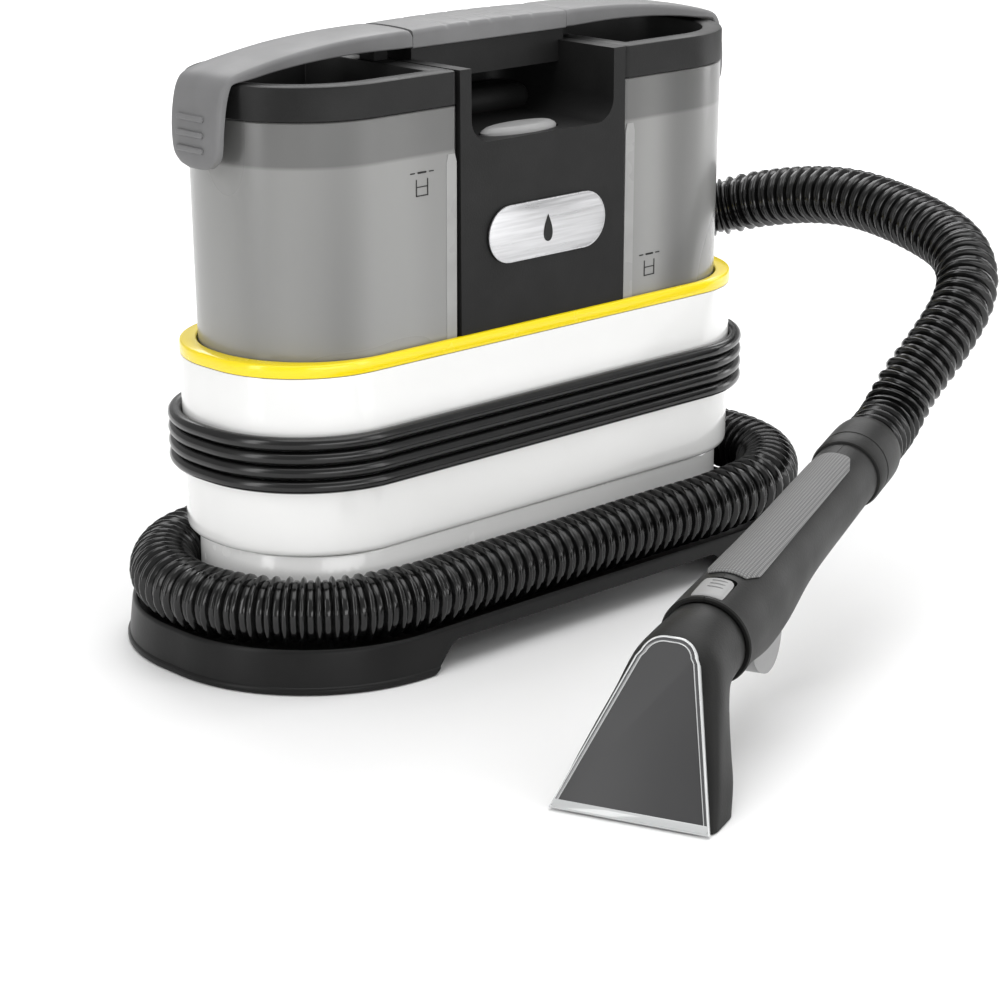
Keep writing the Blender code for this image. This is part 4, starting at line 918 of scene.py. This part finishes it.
def build_release_button():
    """A thin cap on the grip's top, with three grooves across it."""
    sections = []
    for x, width, height in ((0.1010, 17, 0.0003), (0.1013, 19, 0.0007), (0.1020, 20, 0.0010),
                             (0.1040, 20.5, 0.0011), (0.1160, 20.5, 0.0011), (0.1185, 19.5, 0.0011),
                             (0.1200, 17.5, 0.0010), (0.1207, 15, 0.0007), (0.1210, 13, 0.0003)):
        centre = Vector((x, 0, axis_z(x)))
        ring = []
        for reach, order in ((BUTTON_TOP + height, 1), (0.0232, -1)):
            for step in range(17):
                turn = math.radians(90 + order * width * (1 - step / 8))
                fall = 0.0006 if order == 1 and step in (0, 16) else 0.0
                ring.append(centre + Vector((0, (reach - fall) * math.cos(turn), 0))
                            + TOOL_RISE * ((reach - fall) * math.sin(turn)))
        sections.append(ring)
    button = loft("release_button_cap", sections, TOOL)
    for number in range(3):
        x = 0.1075 + 0.0035 * number
        top = axis_z(x) + BUTTON_TOP + 0.0011
        groove = block("groove", (x - 0.0007, -0.0055, top - 0.0006),
                       (x + 0.0007, 0.0030, top + 0.004), TOOL, 0.0005, 3)
        boolean(button, groove)
    button.data.set_sharp_from_angle(angle=SMOOTH_ANGLE)
    piece(button, "release_body", PALE, ["release_button"])


def build_trigger():
    lever = catmull((
        (0.1492, 0.0400), (0.1490, 0.0310), (0.1560, 0.0235), (0.1650, 0.0190),
        (0.1730, 0.0176), (0.1810, 0.0195), (0.1870, 0.0250), (0.1903, 0.0330),
        (0.1903, 0.0405)), 5)
    trigger = slab("spray_trigger_skin", lever, -0.0078, 0.0078, TOOL_UPRIGHT, 0.0012)
    piece(trigger, "trigger_body", PALE, ["spray_trigger"])


def build_cuff():
    """The collar between the grip and the hose, with a groove round it."""
    rings = []
    for x, radius in ((0.3124, 0.0196), (0.3128, 0.0203), (0.3150, 0.0210), (0.3240, 0.0210),
                      (0.3245, 0.0206), (0.3255, 0.0206), (0.3260, 0.0210), (0.3420, 0.0210),
                      (0.3465, 0.0208), (0.3490, 0.0205), (0.3506, 0.0201), (0.3510, 0.0196)):
        rings.append(tool_section(x, radius, radius, radius))
    for x, radius in ((0.3510, 0.0120), (0.3124, 0.0120)):
        rings.append(tool_section(x, radius, radius, radius))
    cuff = loft("hose_cuff_skin", rings, TOOL, ring_shaped=True)
    piece(cuff, "root", TOOL_SHELL, ["hose_cuff"])


def neck_ends(x, radius):
    """Front and back points of a round section across the tilted axis."""
    rise = (radius * math.sin(TOOL_PITCH), radius * math.cos(TOOL_PITCH))
    return (x - rise[0], axis_z(x) + rise[1], x + rise[0], axis_z(x) - rise[1])


def nozzle_rings(inset, count=72):
    """Rings from the flat mouth, through the flare, to the round neck inside the grip."""
    # the front's x and z, the back's x and z, half the width, and how square the ring is
    flare = catmull((
        (0.0035, 0.0004, 0.0340, 0.0004, 0.0415, 7.0), (0.0144, 0.0150, 0.0460, 0.0120, 0.0380, 6.0),
        (0.0276, 0.0330, 0.0570, 0.0220, 0.0330, 4.5), (0.0415, 0.0520, 0.0690, 0.0300, 0.0280, 3.2),
        (0.0545, 0.0700, 0.0790, 0.0345, 0.0242, 2.6), (0.0720, 0.0765, 0.0860, 0.0350, 0.0222, 2.2),
        (*neck_ends(0.0930, 0.0215), 0.0215, 2.0)), 5)
    necks = [(*neck_ends(x, radius), radius, 2.0)
             for x, radius in ((0.0972, 0.0215), (0.0974, 0.0205), (0.1080, 0.0205))]
    rings = []
    for front_x, front_z, back_x, back_z, half, power in flare + necks:
        front, back = Vector((front_x, 0, front_z)), Vector((back_x, 0, back_z))
        centre, reach = (front + back) / 2, (front - back) / 2
        reach *= (reach.length - inset) / reach.length
        ring = []
        for i in range(count):
            turn = 2 * math.pi * i / count
            c, s = math.cos(turn), math.sin(turn)
            scale = (abs(c) ** power + abs(s) ** power) ** (-1 / power)
            ring.append(centre + Vector((0, (half - inset) * c * scale, 0)) + reach * s * scale)
        rings.append(ring)
    return rings


def window_shape(inset=0.0):
    """The window's outline: wide at the lip, narrowing to a rounded top."""
    length = math.hypot(0.054, 0.074) - inset
    corner = 0.012 - inset
    low, top = 0.0407 - inset * 1.1, 0.0165 - inset
    shape = [(-low, inset), (low, inset), (top, length - corner)]
    shape += arc(0.003, length - corner, corner, 15, 90, 10)
    shape += [(-x, y) for x, y in reversed(shape[2:])]
    return shape


def build_nozzle():
    outer = nozzle_rings(0.0)
    inner = list(reversed(nozzle_rings(0.0028)))
    body = loft("nozzle_body_skin", outer + inner, TOOL, ring_shaped=True)
    piece(body, "nozzle_body_group", TOOL_SHELL, ["nozzle_body"])

    slope = math.atan2(0.074, 0.054)
    up = Vector((math.cos(slope), 0, math.sin(slope)))
    out = Vector((-math.sin(slope), 0, math.cos(slope)))
    across = Vector((0, 1, 0))
    plane = Matrix((across, up, out)).transposed().to_4x4()
    place = TOOL @ Matrix.Translation((0.0012, 0, 0.0016)) @ plane
    glass = slab("nozzle_window_skin", window_shape(0.0034), -0.0008, -0.0002, place, 0.0002)
    piece(glass, "nozzle_body_group", CLEAR, ["nozzle_window"])
    for name, material, levels in (
            ("nozzle_window_edge", EDGE, ((0.0, -0.0022), (0.0, -0.0006), (0.0006, 0.0),
                                          (0.0011, 0.0), (0.0011, -0.0022))),
            ("nozzle_window_rim", RIM, ((0.0011, -0.0022), (0.0011, -0.0002), (0.0016, -0.0001),
                                        (0.0028, -0.0001), (0.0028, -0.0022))),
            ("nozzle_window_line", EDGE, ((0.0028, -0.0022), (0.0028, 0.0), (0.0030, 0.0001),
                                          (0.0033, 0.0), (0.0033, -0.0022)))):
        rim = loft(name, lifted(*((window_shape(inset), z) for inset, z in levels)), place,
                   ring_shaped=True, smooth=RIM_SMOOTH_ANGLE)
        piece(rim, "nozzle_body_group", material)
    lip = block("nozzle_lip", (-0.0392, 0.0006, -0.0022), (0.0392, 0.0046, 0.0003), place, 0.0005, 2)
    piece(lip, "nozzle_body_group", EDGE)


# ---- the CAD pieces that show as they are -----------------------------------
def dress_cad():
    """Give each CAD piece that shows its material, and the width of its rounded edges."""
    looks = {
        "rear_cover": (CHARCOAL, 0.0006), "hose_port": (CHARCOAL, 0.0006),
        "hose_clip": (CHARCOAL, 0.0005), "cable_gland": (CORD, 0.0006), "power_plug": (CORD, 0.0008),
        "tank_deck": (INNER, 0), "power_switch": (INNER, 0.0003), "motor_can": (STEEL, 0.0006),
        "motor_rotor": (STEEL, 0), "fan_housing": (INNER, 0.0005), "water_pump": (INNER, 0.0010),
        "water_line": (CORD, 0), "dirt_duct": (INNER, 0), "air_duct": (INNER, 0),
        "fresh_valve": (PALE, 0.0003), "dirt_riser": (INNER, 0.0004), "air_riser": (INNER, 0.0004),
        "float_rod": (INNER, 0), "dirty_float": (YELLOW, 0.0004), "fresh_hinge_pin": (STEEL, 0),
        "dirty_hinge_pin": (STEEL, 0), "trigger_pin": (STEEL, 0), "suction_pipe": (INNER, 0),
        "spray_valve": (BRASS, 0.0003), "spray_tip": (TOOL_SHELL, 0.0004),
    }
    for name, (material, width) in looks.items():
        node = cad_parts[name]
        if node.material_slots:
            for holder in node.material_slots:
                holder.material = material
        else:
            node.data.materials.append(material)
        if width:
            soften(node, width, 40)


build_camera()
build_hose()
build_cord()
build_base()
build_tower()
for tank_side, tank_prefix in ((-1, "fresh"), (1, "dirty")):
    build_tank(tank_side, tank_prefix)
build_marks()
build_grip()
build_pad()
build_release_button()
build_trigger()
build_cuff()
build_nozzle()
dress_cad()
build_stage()
